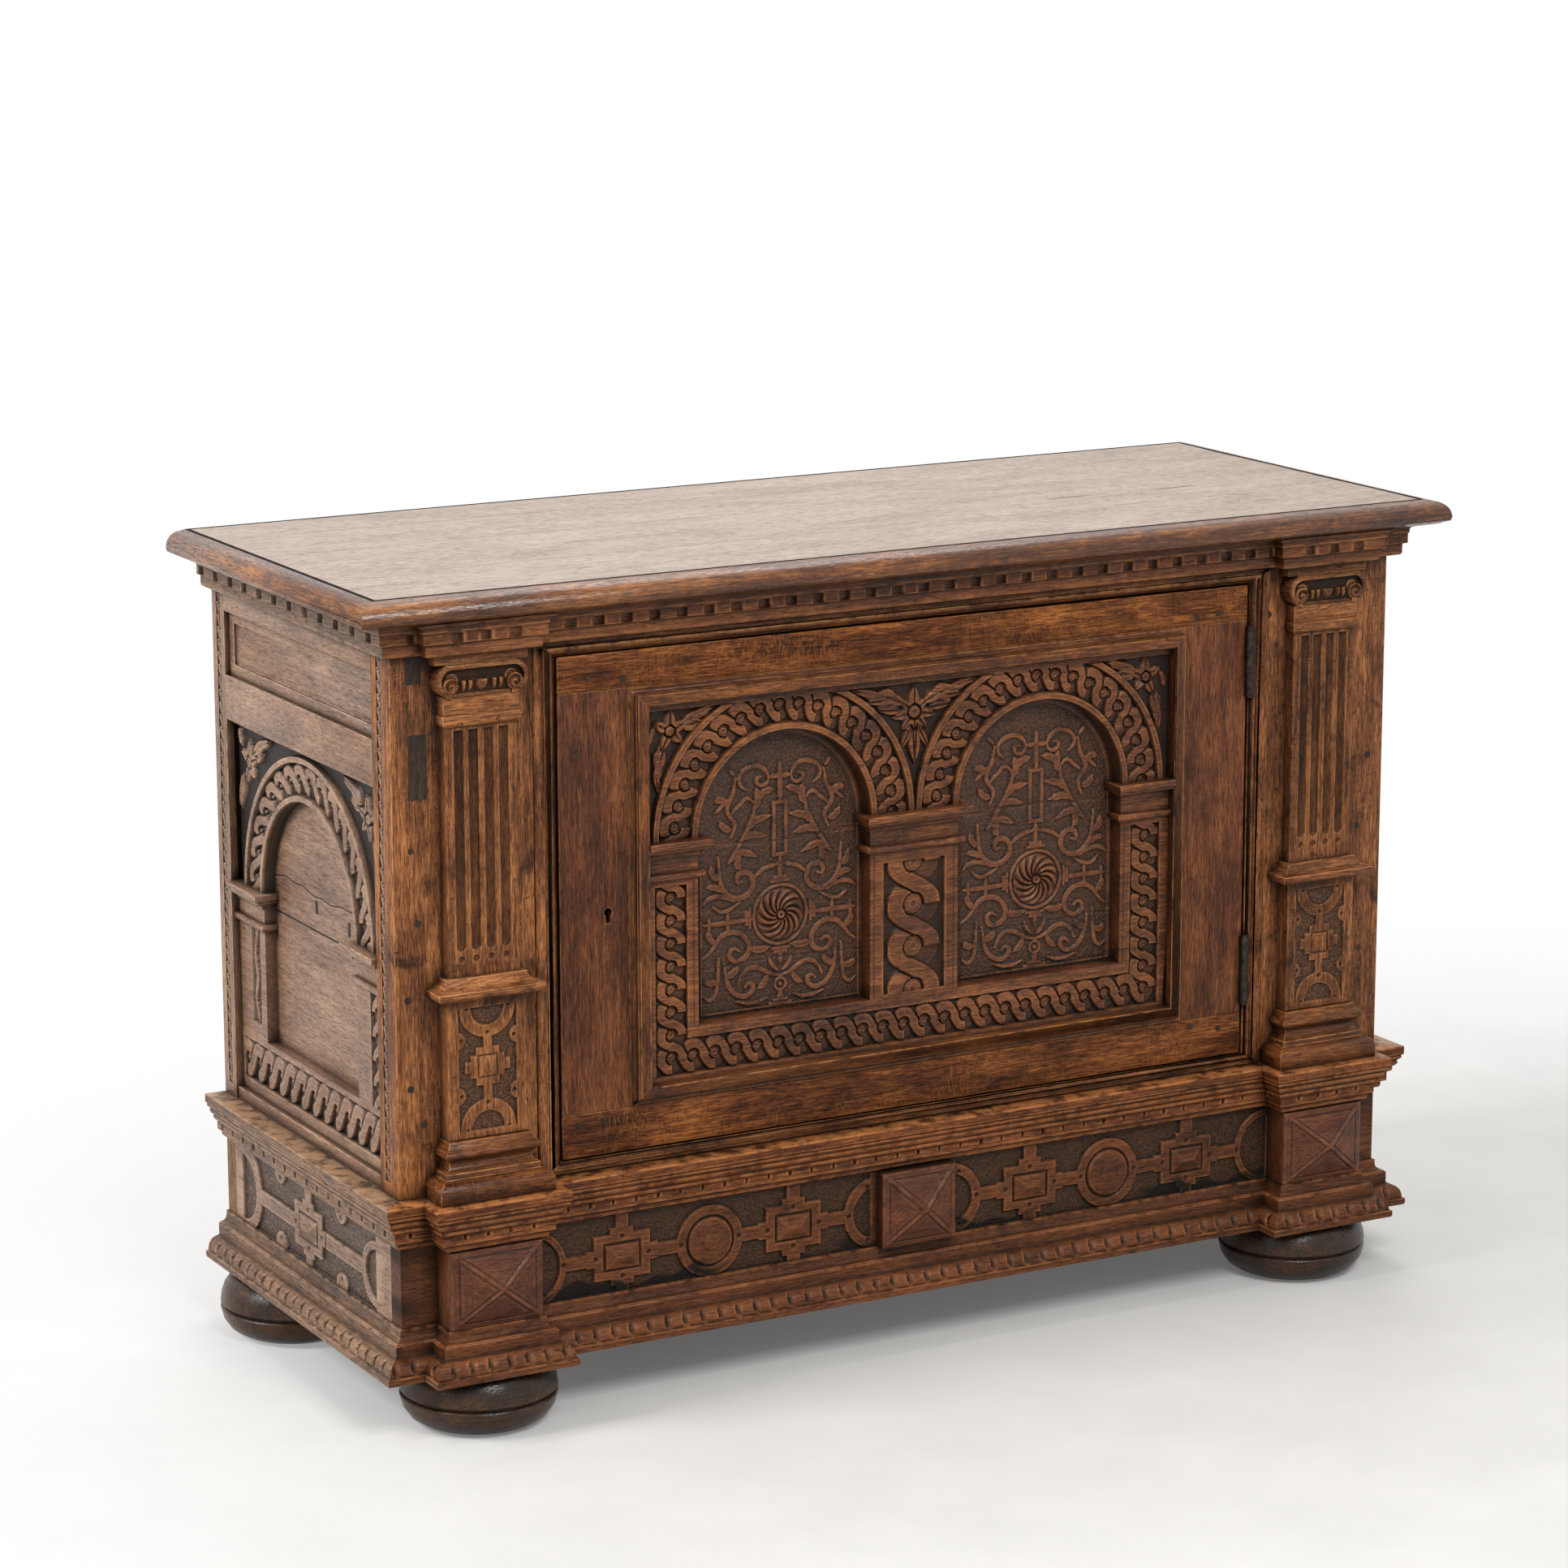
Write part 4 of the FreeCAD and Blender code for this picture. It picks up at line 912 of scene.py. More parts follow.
    def eased(self, node: str, finish: Oak, width: float,
              keep: Callable[[Vector, Vector], bool] | None = None, courses: int = 1) -> Piece:
        """A copy of a frame node with worn, rounded arrises and grain along each of its boards.

        Args:
            node: the node that is copied.
            finish: its oak.
            width: how wide the rounding is, in millimetres; 0 for none.
            keep: says of a board's lowest and highest corner whether it is kept.
            courses: how many boards of one height lie on one another.

        Returns:
            The copy.
        """
        bm = bmesh.new()
        bm.from_mesh(self.frame["nodes"][node].data)
        low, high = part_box(node)
        rows: list[dict[bmesh.types.BMVert, None]] = [{} for _ in range(courses)]
        for face in bm.faces:
            within = face.calc_center_median().z - face.normal.z * MM
            row = math.floor((within - low.z) / (high.z - low.z) * courses)
            rows[min(max(row, 0), courses - 1)].update(dict.fromkeys(face.verts))
        for verts in rows:
            bmesh.ops.remove_doubles(bm, verts=list(verts), dist=0.002 * MM)
        bmesh.ops.dissolve_limit(bm, angle_limit=math.radians(0.6), verts=bm.verts, edges=bm.edges)
        worn = bm.faces.layers.float.new(WORN)
        board = bm.faces.layers.float.new(BOARD)
        seed = sum(ord(letter) for letter in node) % 17
        for index, faces in enumerate(self._boards(bm)):
            corners = [vert.co for face in faces for vert in face.verts]
            low = Vector(map(min, *corners))
            high = Vector(map(max, *corners))
            if keep is not None and not keep(low, high):
                bmesh.ops.delete(bm, geom=faces, context="FACES")
                continue
            size = high - low
            axis = max(range(3), key=lambda i: size[i])
            for face in faces:
                points = [vert.co for vert in face.verts]
                spans = [max(p[i] for p in points) - min(p[i] for p in points) for i in range(3)]
                longest = max(range(3), key=lambda i: spans[i])
                slender = spans[longest] > 5 * sorted(spans)[1]
                face.material_index = longest if slender else axis
                face[board] = seed * 0.61 + index * 0.37
        if width:
            arris = math.radians(35)
            sharp = [e for e in bm.edges if len(e.link_faces) == 2 and e.calc_face_angle(0) > arris]
            made = bmesh.ops.bevel(bm, geom=sharp, offset=width * MM, offset_type="OFFSET", segments=2,
                                   profile=0.5, affect="EDGES", clamp_overlap=False, material=-1)
            for face in made["faces"]:
                face[worn] = 1.0
        piece = Mesher.finish(bm, f"{node}_oak")
        for grain in Grain:
            piece.data.materials.append(self.wardrobe.oak(finish, grain))
        return piece

    @staticmethod
    def _boards(bm: bmesh.types.BMesh) -> list[list[bmesh.types.BMFace]]:
        """Splits a mesh into its separate boards.

        Args:
            bm: the mesh.

        Returns:
            The faces of each board, in a fixed order.
        """
        left = dict.fromkeys(bm.faces)
        boards = []
        while left:
            todo = [left.popitem()[0]]
            faces = []
            while todo:
                face = todo.pop()
                faces.append(face)
                for edge in face.edges:
                    for other in edge.link_faces:
                        if other in left:
                            del left[other]
                            todo.append(other)
            boards.append(faces)
        return sorted(boards, key=lambda faces: tuple(faces[0].calc_center_median()))


# Mouldings round the carcass

@dataclass(frozen=True)
class Notches:
    """Square notches along a moulding's flat band, each with a sloping floor."""

    pitch: float
    width: float
    low: float
    high: float
    depth: float
    slope: float = 0.6
    # The share of painted shade laid inside the notches.
    shade_and_soot: float = 0.5

    def cut(self, s: Array, up: Array, length: float) -> Array:
        """The depth of the cuts.

        Args:
            s: places along the run.
            up: places up its section.
            length: the run's length.

        Returns:
            How deep each place is cut.
        """
        count = math.floor((length - self.width - 4) / self.pitch)
        if count < 0:
            return np.zeros(np.broadcast(s, up).shape)
        index = np.clip(np.rint((s - length / 2) / self.pitch + count / 2), 0, count)
        local = s - (length / 2 + (index - count / 2) * self.pitch)
        inside = (soft(self.width / 2 - np.abs(local), -0.2, 0.5)
                  * soft(np.minimum(up - self.low, self.high - up), -0.2, 0.5))
        ramp = np.clip(local / self.width + 0.5, 0, 1)
        return self.depth * inside * (1 - self.slope * (1 - ramp))


@dataclass(frozen=True)
class Gouges:
    """Curved gouge cuts along a moulding's roll, each steep on one side and running out on the other."""

    pitch: float
    width: float
    low: float
    high: float
    depth: float
    bend: float = 3.4
    # The share of painted shade laid inside the gouges.
    shade_and_soot: float = 0.85

    def cut(self, s: Array, up: Array, length: float) -> Array:
        """The depth of the cuts.

        Args:
            s: places along the run.
            up: places up its section.
            length: the run's length.

        Returns:
            How deep each place is cut.
        """
        share = np.clip((up - self.low) / (self.high - self.low), 0, 1)
        place = (s - length / 2 - self.bend * (2 * share - 1) ** 2) % self.pitch
        ramp = np.clip(1 - place / self.width, 0, 1) * soft(place, 0.0, 0.5)
        return self.depth * ramp * np.sin(np.pi * share) ** 0.7


@dataclass(frozen=True)
class Moulding:
    """A moulding in mitred runs round the front and sides, that steps forward over each pilaster."""

    name: str
    section: tuple
    reach: float
    rise: float
    low: float
    step_out: float
    step_half: float
    finish: Oak
    side_finish: Oak
    front_cuts: tuple = ()
    side_cuts: tuple = ()
    middle: float = 508.0
    half_width: float = 600.0
    depth: float = 457.0
    spacing: float = 1.7

    def path(self) -> list[Vector]:
        """The plan of the faces that the moulding runs round.

        Returns:
            The plan's corners, from the rear left to the rear right.
        """
        points = [(-self.half_width, self.depth), (-self.half_width, 0.0)]
        for middle in (-self.middle, self.middle):
            points += [(middle - self.step_half, 0.0), (middle - self.step_half, -self.step_out),
                       (middle + self.step_half, -self.step_out), (middle + self.step_half, 0.0)]
        points += [(self.half_width, 0.0), (self.half_width, self.depth)]
        return [Vector(point) for point in points]

    def outline(self) -> Array:
        """The section's closed outline.

        Returns:
            How far out and how far up each point is, in millimetres.
        """
        points = [np.array(self.section[0][:2])]
        for start, end in zip(self.section, self.section[1:] + self.section[:1]):
            a, b = np.array(start[:2]), np.array(end[:2])
            size = math.hypot((b[0] - a[0]) * self.reach, (b[1] - a[1]) * self.rise)
            shown = max(a[0], b[0]) > 0.3 and abs(b[1] - a[1]) > 0.02
            count = max(4 if len(end) > 2 else 1, round(size / 1.3) if shown else 1)
            share = np.linspace(0, 1, count + 1)[1:, None]
            pull = 2 * np.array(end[2:]) - (a + b) / 2 if len(end) > 2 else (a + b) / 2
            points.extend(a * (1 - share) ** 2 + 2 * pull * share * (1 - share) + b * share ** 2)
        return np.array(points) * (self.reach, self.rise)

    def build(self, bench: "Bench", slot: str, node: str) -> None:
        """Makes every run and fits it in place of the frame's node.

        Args:
            bench: where the runs are made and fitted.
            slot: handed on to fit.
            node: the frame's node.
        """
        outline = self.outline()
        out, up = outline[:, :1], outline[:, 1:]
        face = bench.datum.front_face()
        run = np.diff(outline, axis=0, append=outline[1:2])
        before_run = np.roll(run, 1, axis=0)
        cross = before_run[:, 0] * run[:, 1] - before_run[:, 1] * run[:, 0]
        bend = (np.arctan2(cross, (before_run * run).sum(axis=1)) / math.radians(40))[:, None]
        corners = self.path()
        normals = [Vector((b.y - a.y, a.x - b.x)).normalized() for a, b in zip(corners, corners[1:])]
        still = Vector((0, 0))
        for index, (a, b, normal) in enumerate(zip(corners, corners[1:], normals)):
            before = normals[index - 1] if index else still
            after = normals[index + 1] if index + 1 < len(normals) else still
            length = (b - a).length
            front = 0 < index < len(normals) - 1
            t = spaced([0.0, 1.0], self.spacing / length)[None, :]
            start, end = (b - a).dot(before) * out / length, (b - a).dot(after) * out / length
            s = start + (length + end - start) * t
            cut = np.zeros((len(outline), t.shape[1]))
            shade_and_soot = np.zeros(cut.shape)
            for cuts in self.front_cuts if front else self.side_cuts:
                made = cuts.cut(s, up, length) * soft(np.minimum(s - start, length + end - s), 1.0, 3.0)
                cut = np.maximum(cut, made)
                # Painted shade: the inside of each cut is darkened.
                shade_and_soot = np.maximum(shade_and_soot, cuts.shade_and_soot * soft(made, 0.1 * cuts.depth, 0.8 * cuts.depth))
            cut = cut * (out > self.reach * 0.12)
            ax, ay = a.x + out * (normal.x + before.x), a.y + out * (normal.y + before.y)
            bx, by = b.x + out * (normal.x + after.x), b.y + out * (normal.y + after.y)
            points = face.points(ax + (bx - ax) * t - normal.x * cut, self.low + up + 0 * t,
                                 -(ay + (by - ay) * t - normal.y * cut))
            lift = blurred(cut, 2) - cut
            # Painted shade and dust: each run's top face darkens towards its back, and concave bends are
            # darkened with painted shade.
            top_shade_and_dust = 0.95 * (up > self.rise - 0.01) * (1 - 0.7 * out / self.reach)
            attributes = {SHADE_DIRT_MASK: np.maximum(shade_and_soot, np.maximum(top_shade_and_dust, 0.6 * np.clip(-bend, 0, 1))),
                          WORN: np.clip(np.maximum(lift / 0.6, bend), 0, 1),
                          BOARD: np.full(cut.shape, index * 0.7 + self.low * 0.013)}
            piece = Mesher.bar(f"{self.name}_{index}", points, attributes)
            oak = self.finish if front else self.side_finish
            grain = Grain.ALONG_X if abs(normal.y) > 0.5 else Grain.ALONG_Y
            piece.data.materials.append(bench.wardrobe.oak(oak, grain))
            bench.fit(piece, slot, [node])


# Arched boards

@dataclass(frozen=True)
class Arch:
    """A carved round arch in a board, with its ring, plaited band and outer ring."""

    middle: float
    springing: float
    radius: float
    ring: float
    outer: float
    left: float
    right: float
    top: float
    eyes: float
    strand: float = 13.6
    button: float = 5.7
    depth: float = 5.0
    ring_rise: float = 2.0
    ground: float = 6.0
    fillet: float = 9.0

    def fan(self, step: float) -> tuple[Array, Array, Array, Array]:
        """Places of a half fan from the arch's edge to the board's borders.

        Args:
            step: the spacing, in millimetres.

        Returns:
            Across, up, radius and angle of each place.
        """
        left, right, top = self.middle - self.left, self.right - self.middle, self.top - self.springing
        marks = [0.0, math.atan2(top, right), math.pi - math.atan2(top, left), math.pi]
        angle = spaced(marks, step / (self.radius + self.outer) * 2)[None, :]
        cosine, sine = np.cos(angle), np.sin(angle)
        with np.errstate(divide="ignore"):
            side = np.where(cosine > 0, right / np.abs(cosine), left / np.abs(cosine))
            border = np.minimum(side, top / np.maximum(sine, 1e-9))
        inner = spaced([self.radius, self.radius + self.ring, self.outer - self.ring, self.outer], step)
        near = np.minimum(inner[:, None], border)
        count = math.ceil((border.max() - self.outer) / step)
        start = np.minimum(self.outer, border)
        share = np.linspace(0, 1, count + 1)[1:, None]
        radius = np.concatenate([near, start + (border - start) * share])
        across = self.middle + radius * cosine
        up = self.springing + radius * sine
        return across, up, radius, np.broadcast_to(angle, radius.shape)

    def height(self, across: Array, up: Array, radius: Array, angle: Array, spandrel: Array) -> Array:
        """The carved heights.

        Args:
            across: places across the board.
            up: places up the board.
            radius: how far each place is from the arch's middle.
            angle: its angle there.
            spandrel: the share of full height of the leaves in the corners.

        Returns:
            The heights against the board's face.
        """
        line = (self.radius + self.outer) / 2
        pitch = math.pi * line / self.eyes
        half = (self.outer - self.radius) / 2 - self.ring
        plait = Guilloche(pitch, half - self.strand / 2 - 0.2, self.strand, self.button, self.depth)
        band = plait.height((math.pi - angle) * line, radius - line)
        edge = np.minimum(radius - self.radius, self.radius + self.ring - radius)
        outer_edge = np.minimum(radius - self.outer + self.ring, self.outer - radius)
        rings = np.maximum(edge, outer_edge)
        rise = self.ring_rise * soft(rings, -0.2, 1.0) + self.depth * (soft(rings, -0.6, 0.4) - 1)
        result = np.where(radius < self.outer - self.ring + 0.4, np.maximum(band, rise), rise)
        corner = self.ground * (spandrel - 1)
        result = np.where(radius > self.outer - 0.8, np.maximum(rise, corner), result)
        plain = soft(up, self.top - self.fillet - 0.5, self.top - self.fillet + 0.5)
        return result * (1 - plain)


def flower(x: Array, z: Array, middle: Point, petals: Sequence[tuple[float, float, float]],
           button: float) -> Array:
    """A small carved flower.

    Args:
        x: places across.
        z: places up.
        middle: the flower's middle.
        petals: the angle in degrees, length and width of each petal.
        button: the radius of its button.

    Returns:
        The share of full height at each place.
    """
    result = np.zeros(x.shape)
    for angle, length, width in petals:
        turn = math.radians(angle)
        tip = (middle[0] + length * math.cos(turn), middle[1] + length * math.sin(turn))
        result = np.maximum(result, 0.9 * Petal(middle, tip, width).height(x, z))
    r = np.hypot(x - middle[0], z - middle[1])
    dome = soft(r, button + 0.5, button - 1.0) * (0.8 + 0.2 * soft(r, button, 0))
    result = np.where(r < button + 1.2, dome, result)
    return result - 0.3 * soft(r, button * 0.4, button * 0.15)


def foliage(x: Array, z: Array, leaves: Sequence[tuple[Point, Point, float]],
            stems: Sequence[tuple[float, Sequence[Point]]], edge: float) -> Array:
    """Carved leaves and stems.

    Args:
        x: places across.
        z: places up.
        leaves: the root, tip and width of each leaf.
        stems: half of the width, and the corners, of each stem.
        edge: how far in from its edge a stem has its full height.

    Returns:
        The share of full height at each place.
    """
    result = np.zeros(x.shape)
    for leaf in leaves:
        result = np.maximum(result, Petal(*leaf).height(x, z))
    for half, points in stems:
        result = np.maximum(result, 0.9 * soft(stroke(x, z, points, half, 0.1), -0.3, edge))
    return result


@dataclass(frozen=True)
class Arabesque:
    """Flat straps, scrolls and leaves round a whorled rosette, mirrored about an upright line."""

    rise: float = 2.1
    bolder: float = 0.45
    rosette_radius: float = 28.0
    petals: int = 13
    whirl: float = 0.045
    frame_half: float = 94.0
    straps: tuple = (
        (2.4, ((0, 162), (0, 120))), (2.1, ((0, 148), (12, 148))),
        (2.3, ((13, 148), (16, 155), (24, 161), (34, 161), (44, 157), (50, 149))),
        (1.9, ((13, 148), (15, 141), (22, 139), (28, 143), (27, 149), (21, 149))),
        (1.8, ((44, 157), (49, 149), (47, 142), (40, 137))), (1.6, ((54, 154), (60, 161))),
        (2.2, ((52, 151), (54, 141), (55, 134), (60, 126), (63, 119), (60, 111), (53, 104), (54, 96),
               (58, 88))),
        (1.8, ((61, 129), (70, 121), (76, 116))),
        (2.3, ((61, 61), (48, 79), (38, 94), (31, 108), (30, 121))),
        (1.9, ((30, 121), (36, 128), (43, 127), (46, 122), (54, 117), (57, 113))),
        (2.6, ((73, 68), (72, 56), (71, 41), (66, 31), (56, 23), (46, 22), (37, 26), (31, 35), (33, 45),
               (40, 50), (48, 50), (52, 43), (50, 38), (45, 40))),
        (2.2, ((55, 20), (65, 26), (78, 28), (86, 25), (91, 20))),
        (1.8, ((48, 18), (60, 11), (72, 10), (79, 17))),
        (2.1, ((30, 43), (20, 51), (0, 55))), (2.4, ((0, 62), (0, 36))),
        (2.1, ((34, -2), (90, -2))), (1.8, ((62, -13), (62, 9))), (1.8, ((84, -9), (84, 5))),
        (2.6, ((93, -38), (83, -32), (76, -22), (68, -14), (56, -12), (45, -16), (37, -26), (37, -36),
               (43, -43), (53, -46), (60, -40), (60, -33), (54, -30), (49, -34))),
        (2.1, ((0, -36), (0, -52))), (2.0, ((13, -46), (10, -54), (3, -60))),
        (2.3, ((0, -66), (13, -63), (24, -55), (36, -53), (46, -60), (50, -70))),
        (1.9, ((0, -82), (2, -91))),
        (2.4, ((66, -46), (65, -59), (61, -72), (52, -82), (40, -84), (33, -79), (32, -72), (38, -69),
               (42, -74))),
        (2.0, ((73, -39), (74, -60), (76, -78), (84, -84), (91, -78))),
        (1.8, ((16, -88), (26, -92), (40, -92), (52, -88))))
    leaves: tuple = (
        (3.2, ((29, 114), (25, 126), (28, 139))), (3.2, ((28, 124), (19, 133), (6, 135))),
        (3.2, ((39, 93), (31, 104), (8, 107))), (3.2, ((47, 84), (34, 90), (14, 85))),
        (3.0, ((62, 60), (47, 74), (24, 63))), (3.0, ((56, 96), (66, 98), (72, 108))),
        (3.0, ((60, 120), (68, 130), (78, 128))), (2.8, ((71, 44), (80, 50), (82, 62))),
        (3.0, ((37, -32), (26, -36), (10, -33))), (2.8, ((76, -24), (84, -16), (86, -8))),
        (3.0, ((65, -60), (56, -58), (50, -50))), (2.8, ((74, -62), (84, -66), (90, -58))),
        (2.8, ((46, 52), (52, 60), (46, 70))), (2.6, ((14, -62), (18, -72), (28, -78))),
        (2.6, ((66, 30), (76, 38), (88, 38))))

    def height(self, x: Array, z: Array) -> tuple[Array, Array]:
        """The heights above the punched ground, and how punched each place is.

        Args:
            x: places across, from the rosette's middle.
            z: places up, from the rosette's middle.

        Returns:
            The heights in millimetres, and the punched share.
        """
        side = np.abs(x)
        lines = np.full(x.shape, -9.0)
        for half, points in self.straps:
            lines = np.maximum(lines, stroke(side, z, points, half + self.bolder))
        for half, points in self.leaves:
            lines = np.maximum(lines, stroke(side, z, points, half + 2 * self.bolder, 0.05))
        slot = inside_box(side, z, -20, 9.5, 62, 122)
        lines = np.maximum(lines, np.minimum(slot, 4.6 - slot))
        for half, low, high in ((12, -37.5, -34), (8, -42, -36), (12, 34, 37.5), (8, 36, 42)):
            lines = np.maximum(lines, inside_box(side, z, -20, half, low, high))
            lines = np.maximum(lines, inside_box(z, side, -half, half, abs(low), abs(high)))
        lines = np.maximum(lines, inside_ring(side, z, (0, -75), 8, 4.6))
        lines = np.maximum(lines, inside_ring(side, z, (0, -75), 2.6))
        for half, low, high in ((14, -97, -94), (9, -94, -90)):
            lines = np.maximum(lines, inside_box(side, z, -20, half, low, high))
        frame = np.maximum(inside_box(side, z, self.frame_half - 1.2, self.frame_half + 0.8, -98, 60),
                           inside_box(side, z, -20, self.frame_half + 0.8, -99, -97))
        raised = soft(np.maximum(lines, frame), -0.3, 0.6)
        r = np.hypot(x, z)
        ring = soft(inside_ring(x, z, (0, 0), 33.5, 29.3), -0.3, 0.8)
        turn = np.arctan2(z, x) + self.whirl * r
        whorl = np.abs(np.cos(turn * self.petals / 2)) ** 0.8
        petal = soft(self.rosette_radius - r, -0.3, 1.5) * soft(r, 4.8, 7.0)
        heart = soft(r, 5.4, 4.0) * (1 - 0.4 * soft(r, 2.2, 1.0))
        swell = 0.45 + 0.55 * soft(self.rosette_radius - r, 0, 9)
        rosette = petal * (0.1 + 4.6 * whorl * swell) + heart * 4.4
        punched = (1 - raised) * (1 - ring) * soft(r, 28.5, 29.5)
        return np.maximum(np.maximum(self.rise * raised, 2.0 * ring), rosette), punched


@dataclass
class Door:
    """The hinged door: its frame, its two carved arches and the fields behind them."""

    bench: Bench
    step: float = 1.0
    half: float = 318.5
    low: float = 266.5
    high: float = 667.0
    middle: float = 155.5
    radius: float = 102.0
    springing: float = 522.5
    niche_low: float = 322.5
    sink: float = 1.0
    thickness: float = 20.0
    chain_middle: float = 289.0
    band_middle: float = 291.0
    rosette_up: float = 424.0
    rosette_left: float = -151.5
    rosette_right: float = 161.0
    field_depth: float = 20.6
    crack_depth: float = 0.65
    peg_places: tuple = ((-382.8, 700.3), (-342.6, 696.4), (351.3, 695.7), (378.5, 697.7), (-397.8, 234.8),
                         (-369.0, 234.9), (350.9, 239.3), (388.0, 232.0))
    corner_petals: tuple = ((92, 25, 17), (28, 22, 15), (158, 24, 16), (222, 21, 15), (296, 23, 15))
    middle_petals: tuple = ((90, 30, 18), (350, 28, 16), (190, 28, 16), (232, 25, 15), (308, 25, 15),
                            (270, 19, 12), (38, 24, 14), (142, 24, 14))
    leaves: tuple = (
        ((2, 608), (0, 572), 17), ((4, 612), (18, 586), 11), ((10, 636), (44, 650), 18),
        ((16, 630), (44, 632), 13), ((40, 648), (78, 657), 13), ((30, 642), (60, 642), 12),
        ((276, 642), (246, 656), 16), ((268, 648), (234, 659), 11), ((296, 618), (306, 586), 17),
        ((306, 600), (302, 572), 10), ((264, 644), (244, 640), 9))
    stems: tuple = (
        (6.4, ((14, 640), (30, 652), (46, 646), (58, 652), (74, 655))),
        (5.4, ((22, 642), (36, 640), (46, 632))), (5.0, ((276, 640), (262, 636), (252, 641))),
        (6.4, ((276, 644), (262, 648), (250, 653), (234, 657))),
        (6.0, ((298, 626), (304, 610), (301, 594), (305, 580))),
        (4.4, ((304, 644), (311, 634), (312, 620))))
    band: Guilloche = Guilloche(25.2, 11.4, 13.8, 5.8, 5.0)
    chain: Guilloche = Guilloche(24.3, 11.2, 13.6, 5.6, 5.0)
    pier: Guilloche = Guilloche(46.5, 22.6, 19.6, 11.4, 5.0)
    pier_button: float = 420.0

    def build(self) -> None:
        """Makes all pieces of the door."""
        self._arcade()
        self._fields()
        dress = self.bench.dress
        dress("door", DOOR, 1.0, "door_stile_lock", "door_stile_hinge", body="door")
        dress("door", RAIL, 1.0, "door_rail_top", "door_rail_bottom", body="door")
        pegs = self.bench.pegs("door_pegs", self.bench.datum.front_face(), self.peg_places, 3.6)
        self.bench.fit(pegs, "door", body="door")
        dress("door_carving", MOULD, 0.6, "door_panel_moulding", body="door")
        dress("door_carving", CARVING, 0.6, "door_imposts", body="door")
        dress("door_ground", CARVING, 0.0, "door_panel", body="door")

    def _spandrels(self, x: Array, z: Array) -> Array:
        """The flowers and leaves between the arches and in the upper corners.

        Args:
            x: places across the door.
            z: places up it.

        Returns:
            The share of full height at each place.
        """
        side = np.abs(x)
        flowers = np.maximum(flower(side, z, (0, 627), self.middle_petals, 7.5),
                             flower(side, z, (288, 636), self.corner_petals, 5.8))
        return np.maximum(flowers, foliage(side, z, self.leaves, self.stems, 2.4))

    def _lower_height(self, x: Array, z: Array) -> Array:
        """The carving of the board below the springing line.

        Args:
            x: places across the door.
            z: places up it.

        Returns:
            The heights against the board's face.
        """
        side = np.abs(x)
        over, up = side - self.chain_middle, z - self.band_middle
        in_chain = up > -over
        flat = self.band.height(x + self.chain_middle + self.band.pitch / 2, up)
        upright = self.chain.height(self.band_middle + self.chain.pitch / 2 - z,
                                    -(x - np.sign(x) * self.chain_middle))
        mask_band = soft(np.minimum(18.6 - np.abs(up), 18.6 + self.chain_middle - side), -0.3, 0.5)
        mask_chain = soft(np.minimum(18.2 - np.abs(over), 474 - z), -0.3, 0.5)
        carved = np.where(in_chain, upright, flat)
        result = carved * np.where(in_chain, mask_chain, mask_band)
        pier = self.pier.height(self.pier_button + self.pier.pitch / 2 - z, -x)
        in_pier = (side < 45) & (z > 320)
        result = np.where(in_pier, pier * soft(inside_box(side, z, -90, 37, 326, 468), -0.3, 0.7), result)
        groove = np.maximum(soft(np.abs(side - 48.5), 0.9, 0.2), soft(np.abs(side - 262.5), 0.9, 0.2))
        return result - 0.8 * groove * ((z > 322) & (z < 478))

    def _arcade(self) -> None:
        """The pierced board: two fans above the springing line and a grid below it."""
        face = self.bench.datum.front_face(self.sink)
        nodes = ["door_arcade"]
        for name, left, right in (("left", -self.half, 0.0), ("right", 0.0, self.half)):
            arch = Arch((left + right) / 2 + (3.75 if left else -3.75), self.springing, self.radius, 8.0,
                        155.0, left, right, self.high, 17.5)
            x, z, r, angle = arch.fan(self.step)
            height = arch.height(x, z, r, angle, self._spandrels(x, z))
            self.bench.carve("door_carving", f"door_arch_{name}", face, x, z, height, self.thickness,
                             CARVING, Grain.ALONG_X, nodes=nodes, body="door", board=2.3)
        inner, outer = self.middle - self.radius, self.middle + self.radius
        marks = [-self.half, -outer, -inner, inner, outer, self.half]
        levels = [self.low, self.niche_low, self.springing]
        x, z = np.meshgrid(spaced(marks, self.step), spaced(levels, self.step))
        side = np.abs(x)
        centre_x, centre_z = (side[1:, 1:] + side[1:, :-1]) / 2, (z[1:, 1:] + z[:-1, 1:]) / 2
        holes = (centre_x > inner) & (centre_x < outer) & (centre_z > self.niche_low)
        self.bench.carve("door_carving", "door_arcade_foot", face, x, z, self._lower_height(x, z),
                         self.thickness, CARVING, Grain.ALONG_X, nodes=nodes, body="door", holes=holes,
                         board=2.3)

